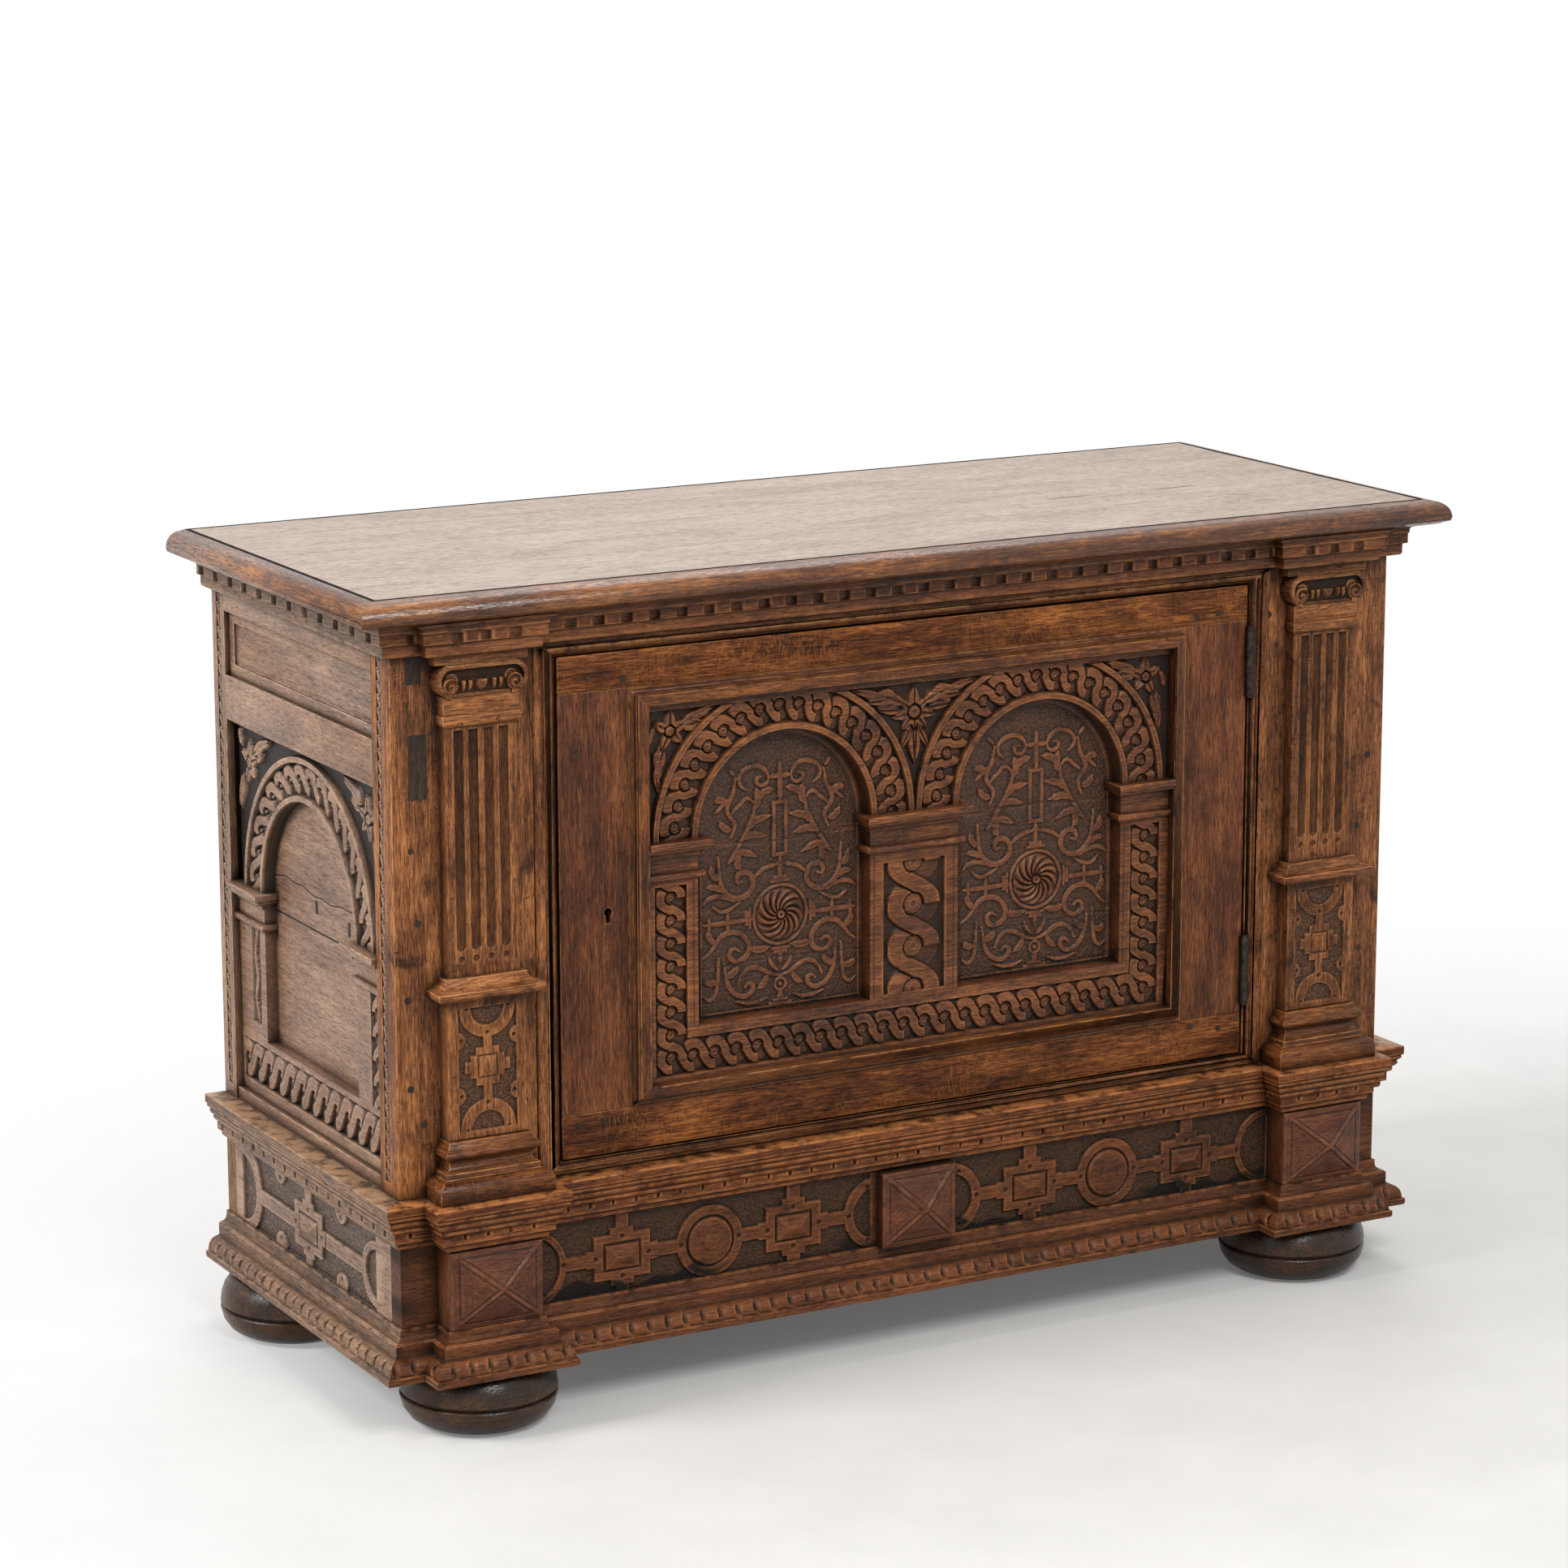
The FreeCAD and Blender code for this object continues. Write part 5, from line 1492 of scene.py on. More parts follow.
    def _fields(self) -> None:
        """The two carved grounds behind the arches."""
        face = self.bench.datum.front_face(self.field_depth)
        design = Arabesque()
        reach = self.radius + 1.5
        for name, middle, rosette in (("left", -self.middle, self.rosette_left),
                                      ("right", self.middle, self.rosette_right)):
            x, z = np.meshgrid(spaced([middle - reach, middle + reach], self.step * 1.1),
                               spaced([self.niche_low - 1.5, self.springing + reach], self.step * 1.1))
            height, punched = design.height(x - rosette, z - self.rosette_up)
            r = np.where(z > self.springing, np.hypot(x - middle, z - self.springing), np.abs(x - middle))
            border = soft(r, 94.2, 95.2) * (z > self.niche_low + 4)
            height = np.maximum(height, 1.3 * border) - 0.9 * soft(np.abs(r - 95.6), 1.1, 0.4) * (r < 98)
            punched = punched * (1 - border)
            height = height + 0.4
            shade_and_soot = np.zeros(x.shape)
            for level, wide, bend in ((506, 1.2, 2.2), (377, 0.8, 1.2)):
                wave = bend * np.sin(x * 0.031 + level) + 0.7 * np.sin(x * 0.117)
                crack = soft(np.abs(z - level - wave), wide + 0.7, wide - 0.3)
                height = height - self.crack_depth * crack
                shade_and_soot = np.maximum(shade_and_soot, crack)
            self.bench.carve("door_ground", f"door_field_{name}", face, x, z, height, 0.2, GROUND,
                             Grain.ALONG_X, body="door", punched=punched, board=5.1, cells=3, reach=0.8,
                             shade_and_soot=shade_and_soot)


@dataclass
class Side:
    """One side of the carcass: its arched board, panels, rails and imposts."""

    bench: Bench
    left: bool
    step: float = 1.15
    rear: float = -425.0
    front: float = -45.0
    low: float = 198.0
    high: float = 604.0
    middle: float = -235.0
    radius: float = 120.0
    springing: float = 427.0
    niche_low: float = 262.0
    sink: float = 9.0
    thickness: float = 14.0
    field_depth: float = 22.6
    chain_middle: float = -66.0
    petals: tuple = ((95, 28, 17), (30, 24, 15), (160, 25, 16), (225, 22, 15), (285, 26, 16))
    leaves: tuple = (((140, 574), (108, 594), 20), ((128, 584), (92, 596), 14), ((170, 546), (180, 508), 18),
                     ((134, 566), (112, 580), 11))
    stems: tuple = (
        (6.0, ((142, 572), (128, 578), (114, 590), (98, 594))),
        (5.4, ((164, 552), (176, 540), (174, 522), (180, 504))),
        (4.6, ((172, 574), (180, 588), (178, 598))), (4.2, ((134, 566), (124, 572), (120, 580))))
    strips: tuple = (("front", -27.5), ("rear", -440.5))
    strip_chain: Guilloche = Guilloche(13.6, 2.5, 4.4, 1.3, 2.6)
    band: Guilloche = Guilloche(29.4, 14.0, 15.4, 4.6, 5.5)
    chain: Guilloche = Guilloche(26.0, 8.6, 11.4, 3.4, 4.5)
    plugs: tuple = ((-246.5, -241.5, 427, 441), (-163, -158, 421, 436))

    @property
    def name(self) -> str:
        """The side's name in its nodes."""
        return "left" if self.left else "right"

    def build(self) -> None:
        """Makes all pieces of the side."""
        self._arch_board()
        self._field()
        self._strips()
        dress = self.bench.dress
        dress("side", SIDE_LIT, 0.7, f"rear_post_{self.name}", f"side_rails_{self.name}",
              f"side_upper_panel_{self.name}")
        dress("side_carving", SIDE_LIT, 0.6, f"side_imposts_{self.name}")
        dress("side", SIDE_LIT, 0.0, f"side_field_{self.name}")

    def _mirror(self, across: Array) -> Array:
        """Places across the left side, as they are on this side."""
        return across if self.left else -across

    def _spandrels(self, x: Array, z: Array) -> Array:
        """The flowers and leaves in the upper corners.

        Args:
            x: places across the side.
            z: places up it.

        Returns:
            The share of full height at each place.
        """
        side = np.abs(x - self.middle)
        return np.maximum(flower(side, z, (154, 562), self.petals, 6.5),
                          foliage(side, z, self.leaves, self.stems, 2.6))

    def _strips(self) -> None:
        """The narrow carved chains in the grooves of the two posts."""
        face = self.bench.datum.side_face(3.0, self.left)
        for place, middle in self.strips:
            x, z = np.meshgrid(spaced([middle - 5.2, middle + 5.2], 0.8), spaced([199.0, 742.5], 1.1))
            height = self.strip_chain.height(z, x - middle) + 2.7
            self.bench.carve("side_carving", f"side_strip_{place}_{self.name}", face, self._mirror(x), z,
                             height, 0.1, SIDE_LIT, Grain.ALONG_Z, board=6.1, cells=2, reach=1.6)

    def _arch_board(self) -> None:
        """The pierced board: a fan above the springing line and a grid below it."""
        face = self.bench.datum.side_face(self.sink, self.left)
        nodes = [f"side_arch_board_{self.name}"]
        arch = Arch(self.middle, self.springing, self.radius, 8.0, 169.0, self.rear, self.front, self.high,
                    16.4, strand=12.4, button=3.0, fillet=6.0)
        x, z, r, angle = arch.fan(self.step)
        height = arch.height(x, z, r, angle, self._spandrels(x, z))
        self.bench.carve("side_carving", f"side_arch_{self.name}", face, self._mirror(x), z, height,
                         self.thickness, SIDE_LIT, Grain.ALONG_Y, nodes=nodes, board=1.7)
        marks = [self.rear, self.middle - self.radius, self.middle + self.radius, self.front]
        levels = [self.low, self.niche_low, self.springing]
        x, z = np.meshgrid(spaced(marks, self.step), spaced(levels, self.step))
        centre_x, centre_z = (x[1:, 1:] + x[1:, :-1]) / 2, (z[1:, 1:] + z[:-1, 1:]) / 2
        holes = (np.abs(centre_x - self.middle) < self.radius) & (centre_z > self.niche_low)
        flat = self.band.height(-(x - self.front), z - 233) * soft(
            inside_box(x, z, self.rear + 6, self.front - 6, 211, 255), -0.3, 0.7)
        upright = self.chain.height(403 - z, x - self.chain_middle) * soft(
            inside_box(x, z, self.chain_middle - 15, self.chain_middle + 15, 262, 385), -0.3, 0.7)
        panel = inside_box(x, z, -392, -370, 278, 388)
        curve = stroke(x + 381, z, ((5, 285), (-5, 305), (5, 330), (-5, 352), (5, 382)), 3.2)
        sunk = -3.0 * soft(panel, -0.3, 0.7) * (1 - soft(curve, -0.4, 0.6))
        height = flat + upright + sunk
        self.bench.carve("side_carving", f"side_board_foot_{self.name}", face, self._mirror(x), z, height,
                         self.thickness, SIDE_LIT, Grain.ALONG_Y, nodes=nodes, holes=holes, board=1.7)

    def _field(self) -> None:
        """The plain ground under the arch, with its joint and its crack."""
        face = self.bench.datum.side_face(self.field_depth, self.left)
        reach = self.radius + 1.5
        lines = [self.niche_low - 1.5, 405, 411, 440, 454, self.springing + reach]
        x, z = np.meshgrid(spaced([self.middle - reach, self.middle + reach], 3.0),
                           spaced(lines, [6.0, 0.7, 6.0, 0.7, 6.0]))
        wave = 2.4 * np.sin(x * 0.035) + 1.0 * np.sin(x * 0.13)
        shade_and_soot = np.maximum(soft(np.abs(z - 408), 1.5, 0.7), 0.8 * soft(np.abs(z - 447 - wave), 1.3, 0.5))
        height = 0.8 - 0.7 * shade_and_soot
        self.bench.carve("side", f"side_ground_{self.name}", face, self._mirror(x), z, height, 0.2, SIDE_LIT,
                         Grain.ALONG_Y, board=3.9, cells=3, reach=0.6, shade_and_soot=shade_and_soot)
        plugs = self.plugs
        if not self.left:
            plugs = [(-high, -low, start, end) for low, high, start, end in plugs]
        face = self.bench.datum.side_face(self.field_depth - 1.2, self.left)
        self.bench.fit(self.bench.patches(f"side_plugs_{self.name}", face, plugs), "side")


# Strapwork

@dataclass
class Strapwork:
    """Flat straps, rings and stepped squares on a punched ground."""

    x: Array
    z: Array
    depth: float = 3.0
    inside: Array = field(init=False)
    extra: Array = field(init=False)

    def __post_init__(self) -> None:
        """Starts with bare ground."""
        self.inside = np.full(self.x.shape, -9.0)
        self.extra = np.zeros(self.x.shape)

    def add(self, distance: Array) -> None:
        """Adds a strap, given how far inside it each place lies."""
        self.inside = np.maximum(self.inside, distance)

    def bar(self, x0: float, x1: float, z0: float, z1: float) -> None:
        """Adds a straight strap."""
        self.add(inside_box(self.x, self.z, x0, x1, z0, z1))

    def dot(self, x: float, z: float, radius: float = 3.2) -> None:
        """Drills a shallow round hole."""
        self.extra -= 1.8 * soft(np.hypot(self.x - x, self.z - z), radius, radius - 1.4)

    def stepped(self, x: float, z: float, half: float, tall: float, foot: float, head: float) -> None:
        """Adds a stepped rectangle with a faceted stone and necks up and down.

        Args:
            x: its middle across.
            z: its middle up.
            half: half of its width.
            tall: half of its height.
            foot: where the lower neck starts.
            head: where the upper neck ends.
        """
        self.bar(x - half, x + half, z - tall, z + tall)
        self.bar(x - half - 9, x + half + 9, z - tall + 15, z + tall - 15)
        self.bar(x - 14, x + 14, z - tall - 7, z + tall + 7)
        self.bar(x - 8, x + 8, foot, head)
        stone = inside_box(self.x, self.z, x - half + 13, x + half - 13, z - tall + 11, z + tall - 11)
        self.extra += 5.0 * np.clip(stone / 13, 0, 1)
        self.extra -= 1.8 * soft(np.abs(stone + 0.8), 1.5, 0.5)
        for dx, dz in ((0, tall - 3), (0, 3 - tall), (half - 2, 0), (2 - half, 0)):
            self.dot(x + dx, z + dz)

    def ring(self, x: float, z: float, outer: float, inner: float) -> None:
        """Adds a ring round a domed boss.

        Args:
            x: its middle across.
            z: its middle up.
            outer: the ring's radius.
            inner: the boss's radius.
        """
        self.add(inside_ring(self.x, self.z, (x, z), outer))
        r = np.hypot(self.x - x, self.z - z)
        dome = 0.6 + 3.2 * np.clip(1 - (r / inner) ** 2, 0, 1)
        self.extra -= 1.8 * soft(np.abs(r - inner), 1.8, 0.6)
        self.extra += soft(r, inner, inner - 2.5) * dome
        self.extra += 0.9 * soft(r, 9.5, 8.0)
        for dx in (-outer + 5, outer - 5):
            self.dot(x + dx, z)

    def half_ring(self, x: float, z: float, outer: float, inner: float) -> None:
        """Adds a ring of which only one half shows."""
        self.add(inside_ring(self.x, self.z, (x, z), outer, inner))

    def height(self) -> tuple[Array, Array]:
        """The heights against the board's face, and how punched each place is."""
        level = soft(self.inside, -0.5, 0.6)
        return self.depth * (level - 1) + self.extra * level, 1 - level


@dataclass
class Plinth:
    """The plinth: carved friezes, faceted stones, gouged roll and ledge."""

    bench: Bench
    half_width: float = 600.0
    depth: float = 457.0
    height: float = 185.0
    board: float = 24.0
    frieze_low: float = 50.0
    frieze_high: float = 135.0
    front_middle: float = 87.5
    side_middle: float = 89.0
    block_middle: float = 508.0
    block_half: float = 52.0
    block_out: float = 31.0
    stone_middle: float = 91.0
    stone_tall: float = 42.0
    middle_stone_half: float = 45.5
    middle_stone_out: float = 11.0
    ledge_section: tuple = (
        (0.00, 0.00), (0.12, 0.00), (0.24, 0.08, 0.21, 0.02), (0.24, 0.14), (0.44, 0.17), (0.44, 0.37),
        (0.56, 0.40), (0.60, 0.50, 0.63, 0.45), (0.70, 0.54), (0.76, 0.66, 0.79, 0.60), (0.86, 0.70),
        (0.90, 0.78, 0.92, 0.74), (1.00, 0.82), (1.00, 0.98), (0.97, 1.00), (0.00, 1.00))
    lip_section: tuple = (
        (0.00, 0.00), (0.97, 0.00), (1.00, 0.04), (1.00, 0.14), (0.90, 0.16), (0.46, 0.46, 0.79, 0.37),
        (0.43, 0.48), (0.43, 0.72), (0.36, 0.76), (0.10, 0.92, 0.17, 0.80), (0.10, 1.00), (0.00, 1.00))
    ledge_cuts: tuple = (Notches(26.0, 2.4, 12.4, 17.6, 2.8, 0.2, 0.9),
                         Notches(26.0, 23.2, 11.2, 12.4, 1.0, 0.0, 0.8))
    ledge_side_cuts: tuple = (Notches(28.6, 5.6, 10.6, 16.6, 3.6, 0.2),)
    lip_cuts: tuple = (Gouges(20.8, 7.4, 8.0, 23.0, 3.4, shade_and_soot=1.0),)

    def build(self) -> None:
        """Makes all pieces of the plinth."""
        self._front()
        for left in (True, False):
            self._side(left)
        self.bench.dress("plinth", PLINTH, 0.8, "plinth_block_left", "plinth_block_right")
        self._stones()
        ledge = Moulding("plinth_ledge", self.ledge_section, 24.0, 50.0, self.frieze_high, self.block_out,
                         self.block_half, LEDGE, SIDE_TRIM_LIT, self.ledge_cuts, self.ledge_side_cuts)
        ledge.build(self.bench, "plinth", "plinth_cornice")
        lip = Moulding("plinth_lip", self.lip_section, 28.0, 50.0, 0.0, self.block_out, self.block_half,
                       PLINTH, SIDE_TRIM_LIT, self.lip_cuts, self.lip_cuts)
        lip.build(self.bench, "plinth", "plinth_base_moulding")
        self.bench.dress("plinth", INSIDE, 0.8, "plinth_back")

    def _front(self) -> None:
        """The front board with its strapwork."""
        face = self.bench.datum.front_face()
        carved = self.block_middle - self.block_half
        x = spaced([-self.half_width, -carved - 1, carved + 1, self.half_width], [60.0, 1.0, 60.0])
        z = spaced([0, self.frieze_low - 3, self.frieze_high + 3, self.height], [60.0, 1.0, 60.0])
        x, z = np.meshgrid(x, z)
        work = Strapwork(np.abs(x), z)
        middle = self.front_middle
        for a, b in ((82, 113), (180, 209), (283, 316), (382, 415)):
            work.bar(a - 3, b + 3, middle - 7.5, middle + 7.5)
        for place in (146.5, 349):
            work.stepped(place, middle, 33, 24.5, 44, 140)
        work.ring(246, middle, 39, 27)
        work.half_ring(carved, middle, 43, 35)
        work.half_ring(45, middle, 40, 28)
        work.bar(40, 53, 40, 140)
        for place in (79, 417):
            work.dot(place, middle)
        work.dot(56, 117)
        work.dot(56, 58)
        height, punched = work.height()
        inside = soft(inside_box(work.x, z, -900, carved, self.frieze_low - 1, self.frieze_high), -0.3, 0.5)
        # The frieze is darker towards its bottom, in patches, and mottled near its left end.
        edge = 63 + 5 * np.sin(x / 23) + 3 * np.sin(x / 7.3)
        shade_and_soot = inside * soft(z, edge, edge - 6) * soft(np.sin(x / 61 + 1.1), -0.7, 0.0)
        shade_and_soot = np.maximum(shade_and_soot, 0.7 * soft(-x, 553, 560) * soft(np.sin(z / 9.0) + np.sin(x / 5.0), -0.8, 0.6))
        self.bench.carve("plinth", "plinth_front_carved", face, x, z, height * inside, self.board, PLINTH,
                         Grain.ALONG_X, nodes=["plinth_front"], punched=punched * inside, board=7.7,
                         reach=1.4, shade_and_soot=shade_and_soot)

    def _side(self, left: bool) -> None:
        """A side board with its strapwork.

        Args:
            left: whether it is the left one.
        """
        name = "left" if left else "right"
        face = self.bench.datum.side_face(0, left)
        front, rear = -62.0, -413.0
        x = spaced([-self.depth + self.board, rear - 1, front + 1, -self.board], [60.0, 1.1, 60.0])
        z = spaced([0, self.frieze_low - 3, self.frieze_high + 3, self.height], [60.0, 1.1, 60.0])
        x, z = np.meshgrid(x, z)
        middle = self.side_middle
        work = Strapwork(x, z)
        work.half_ring(rear, middle, 51, 36)
        work.half_ring(front, middle, 36, 26)
        work.bar(rear + 45, -272, middle - 9, middle + 9)
        work.bar(-190, front - 30, middle - 9, middle + 9)
        work.stepped(-236, middle, 36, 24, 44, 140)
        for place in (-310, -150):
            for level in (self.frieze_low + 2, self.frieze_high - 2):
                work.add(inside_ring(x, z, (place, level), 14))
                work.dot(place, level + (7 if level < middle else -7))
        height, punched = work.height()
        inside = soft(inside_box(x, z, rear, front, self.frieze_low - 1, self.frieze_high), -0.3, 0.5)
        across = x if left else -x
        self.bench.carve("plinth", f"plinth_side_carved_{name}", face, across, z, height * inside,
                         self.board, SIDE_LIT, Grain.ALONG_Y, nodes=[f"plinth_side_{name}"],
                         punched=punched * inside, board=8.3, reach=1.6)

    def _stones(self) -> None:
        """The three faceted stones, with a line cut round each facet."""
        tall = self.stone_tall
        stones = (("left", -self.block_middle, self.block_half, self.block_out, self.block_out),
                  ("middle", 0.0, self.middle_stone_half, self.middle_stone_out, 0.0),
                  ("right", self.block_middle, self.block_half, self.block_out, self.block_out))
        for name, middle, half, out, carrier in stones:
            x, z = np.meshgrid(spaced([-half, half], 1.0), spaced([-tall, tall], 1.0))
            u, v = np.abs(x) / half, np.abs(z) / tall
            slope = 1 - np.maximum(u, v)
            facet = np.minimum(slope * tall - 7.5, np.abs(u - v) * half * 0.7 - 3.4)
            height = 1.8 * soft(slope * tall, -0.4, 1.2) + 18.0 * slope - 1.0 * soft(np.abs(facet), 1.4, 0.4)
            self.bench.carve("diamond", f"plinth_stone_{name}", self.bench.datum.front_face(-out),
                             x + middle, z + self.stone_middle, height, out - carrier, DIAMOND,
                             Grain.ALONG_X, nodes=["plinth_diamonds"], board=4.4 + middle * 0.01, reach=1.4)


@dataclass
class Pilasters:
    """The two fluted pilasters with their capitals, pedestals and bases."""

    bench: Bench
    middle: float = 508.0
    shaft_low: float = 413.0
    shaft_high: float = 669.0
    shaft_half: float = 40.0
    shaft_out: float = 14.5
    flute_pitch: float = 16.5
    flute_half: float = 4.9
    capital_middle: float = 716.5
    roll_out: float = 16.0
    roll_radius: float = 16.5
    die_out: float = 19.0
    patches: tuple = ((-583, -566, 713, 741), (-581, -561, 596, 662), (-443, -422, 266, 292),
                      (-444, -436, 588, 664))
    pegs: tuple = ((-585, 300), (-571, 262), (-580, 545), (-574, 470), (-439, 700), (-432, 520), (-428, 360),
                   (432, 480), (445, 690), (438, 330), (575, 300), (581, 520), (-586, 392), (569, 440))

    def build(self) -> None:
        """Makes all pieces of both pilasters."""
        for name, side in (("left", -1), ("right", 1)):
            self._capital(name, side * self.middle)
            self._pedestal(name, side * self.middle)
            self._shaft(name, side * self.middle)
            self.bench.dress("pilaster", MOULD, 0.8, f"pilaster_base_{name}")
        face = self.bench.datum.front_face()
        self.bench.fit(self.bench.patches("stile_patches", face, self.patches), "front")
        self.bench.fit(self.bench.pegs("stile_pegs", face, self.pegs, 4.0), "front")

    def _capital(self, name: str, middle: float) -> None:
        """The capital's moulded core and its carved roll with two scrolled ends.

        Args:
            name: its side.
            middle: its middle across.
        """
        self.bench.dress("pilaster", FRONT, 0.5, f"capital_{name}")
        face = self.bench.datum.front_face(-self.roll_out)
        radius, reach = self.roll_radius, 33.5
        x = spaced([-50.0, 50.0], 0.7)
        over = np.maximum(np.abs(x) - reach, 0)
        z = np.linspace(-1, 1, 53)[:, None] * np.sqrt(np.maximum(radius ** 2 - over ** 2, 0))
        x = np.broadcast_to(x, z.shape)
        side = np.abs(x)
        r = np.hypot(over, z)
        rim = soft(radius - r, 6.0, 4.8) * np.maximum(soft(z, -9, -5), soft(side, 38, 41))
        height = 1.0 + 5.6 * rim * (0.75 + 0.25 * soft(radius - r, 0.0, 2.2) * soft(radius - r, 6.0, 4.0))
        eye = np.hypot(side - 35.5, z + 5.5)
        turn = np.arctan2(z + 5.5, side - 35.5)
        scroll = 0.5 + 0.5 * np.cos(turn - eye * 0.95)
        volute = (3.2 + 2.2 * soft(scroll, 0.25, 0.75)) * soft(eye, 9.6, 8.4) + 1.2 * soft(eye, 3.4, 2.2)
        height = np.maximum(height, 1.0 + volute * soft(eye, 9.8, 8.6))
        for lobe, wide in ((0.0, 8.6), (13.2, 3.4), (20.2, 3.2)):
            d = np.hypot((side - lobe) / wide, np.minimum(z + 1.0, 0) / 13.0)
            height = np.maximum(height, 1.0 + 4.6 * soft(d, 1.0, 0.45) * soft(z, 0.4, -0.8))
        height = np.maximum(height, 1.0 + 1.6 * soft(z, -12.6, -13.6) * soft(side, 34, 31))
        # Painted shade: the roll's low places, behind its rim, lobes and scrolls, are darkened.
        self.bench.carve("pilaster", f"capital_roll_{name}", face, x + middle, z + self.capital_middle,
                         height, 1.0, FRONT, Grain.ALONG_X, board=6.6, reach=1.8,
                         shade_and_soot=0.95 * soft(height, 3.4, 1.6))

    def _shaft(self, name: str, middle: float) -> None:
        """The shaft with its four flutes and a hole under each.

        Args:
            name: its side.
            middle: its middle across.
        """
        face = self.bench.datum.front_face(-self.shaft_out)
        levels = [self.shaft_low, 452.0, self.shaft_high - 12, self.shaft_high]
        x, z = np.meshgrid(spaced([-self.shaft_half, self.shaft_half], 0.9), spaced(levels, [0.9, 3.0, 0.9]))
        height = np.zeros(x.shape)
        foot = self.shaft_low + 27.0
        for index in range(4):
            place = (index - 1.5) * self.flute_pitch
            over = np.maximum(foot + self.flute_half - z, 0)
            gap = np.hypot(x - place, over)
            inside = soft(self.flute_half - gap, -0.3, 0.4) * soft(self.shaft_high - 4 - z, -0.3, 0.4)
            height = height - 4.2 * inside * np.sqrt(np.clip(1 - 0.75 * (gap / self.flute_half) ** 2, 0, 1))
            height = height - 2.2 * soft(np.hypot(x - place, z - foot + 9), 3.7, 2.2)
        border = inside_box(x, z, -self.shaft_half, self.shaft_half, self.shaft_low - 9, self.shaft_high + 9)
        # Painted shade: the flutes darken towards their bottoms.
        shade_and_soot = 0.5 * soft(height, -1.2, -3.9)
        height = height + 0.8 * (soft(border, -0.3, 0.9) - 1)
        self.bench.carve("pilaster", f"pilaster_flutes_{name}", face, x + middle, z, height, self.shaft_out,
                         FRONT, Grain.ALONG_Z, nodes=[f"pilaster_shaft_{name}"], board=2.2 + middle * 0.003,
                         cells=5, shade_and_soot=shade_and_soot)

    def _pedestal(self, name: str, middle: float) -> None:
        """The pedestal's cap, and its die with strapwork round a faceted stone.

        Args:
            name: its side.
            middle: its middle across.
        """
        cap = self.bench.eased(f"pedestal_{name}", FRONT, 0.6, keep=self._is_cap)
        self.bench.fit(cap, "pilaster", [f"pedestal_{name}"])
        face = self.bench.datum.front_face(-self.die_out)
        x, z = np.meshgrid(spaced([-44.0, 44.0], 0.9), spaced([245.0, 393.0], 0.9))
        work = Strapwork(x, z, 2.0)
        work.half_ring(0, 380, 31, 18)
        work.half_ring(0, 254, 31, 18)
        work.bar(-19, 19, 307, 331)
        work.bar(-13, 13, 299, 339)
        work.bar(-25, 25, 313, 325)
        work.bar(-5, 5, 280, 354)
        for level in (290, 348):
            for edge in (-34, 34):
                work.add(inside_ring(x, z, (edge, level), 9.5))
                work.dot(edge * 0.86, level, 2.6)
        stone = inside_box(x, z, -10, 10, 308, 330)
        work.extra += 2.2 * np.clip(stone / 7, 0, 1)
        work.extra -= 1.0 * soft(np.abs(stone + 0.4), 1.1, 0.3)
        for dx, level in ((-23, 381), (23, 381), (-23, 253), (23, 253), (0, 354), (0, 281)):
            work.dot(dx, level, 2.6)
        height, punched = work.height()
        inside = soft(inside_box(x, z, -32, 32, 253, 381), -0.3, 0.5)
        rounded = soft(inside_box(x, z, -44, 44, 245, 393), -0.3, 0.9) - 1
        height = height * inside + 0.7 * rounded
        self.bench.carve("pilaster", f"pedestal_die_{name}", face, x + middle, z, height, self.die_out,
                         FRONT, Grain.ALONG_Z, nodes=[f"pedestal_{name}"], punched=punched * inside,
                         board=3.3 + middle * 0.003, reach=1.3)

    def _is_cap(self, low: Vector, high: Vector) -> bool:
        """Whether a board of the pedestal is its cap, not its die."""
        return low.z - self.bench.datum.foot > 385 * MM


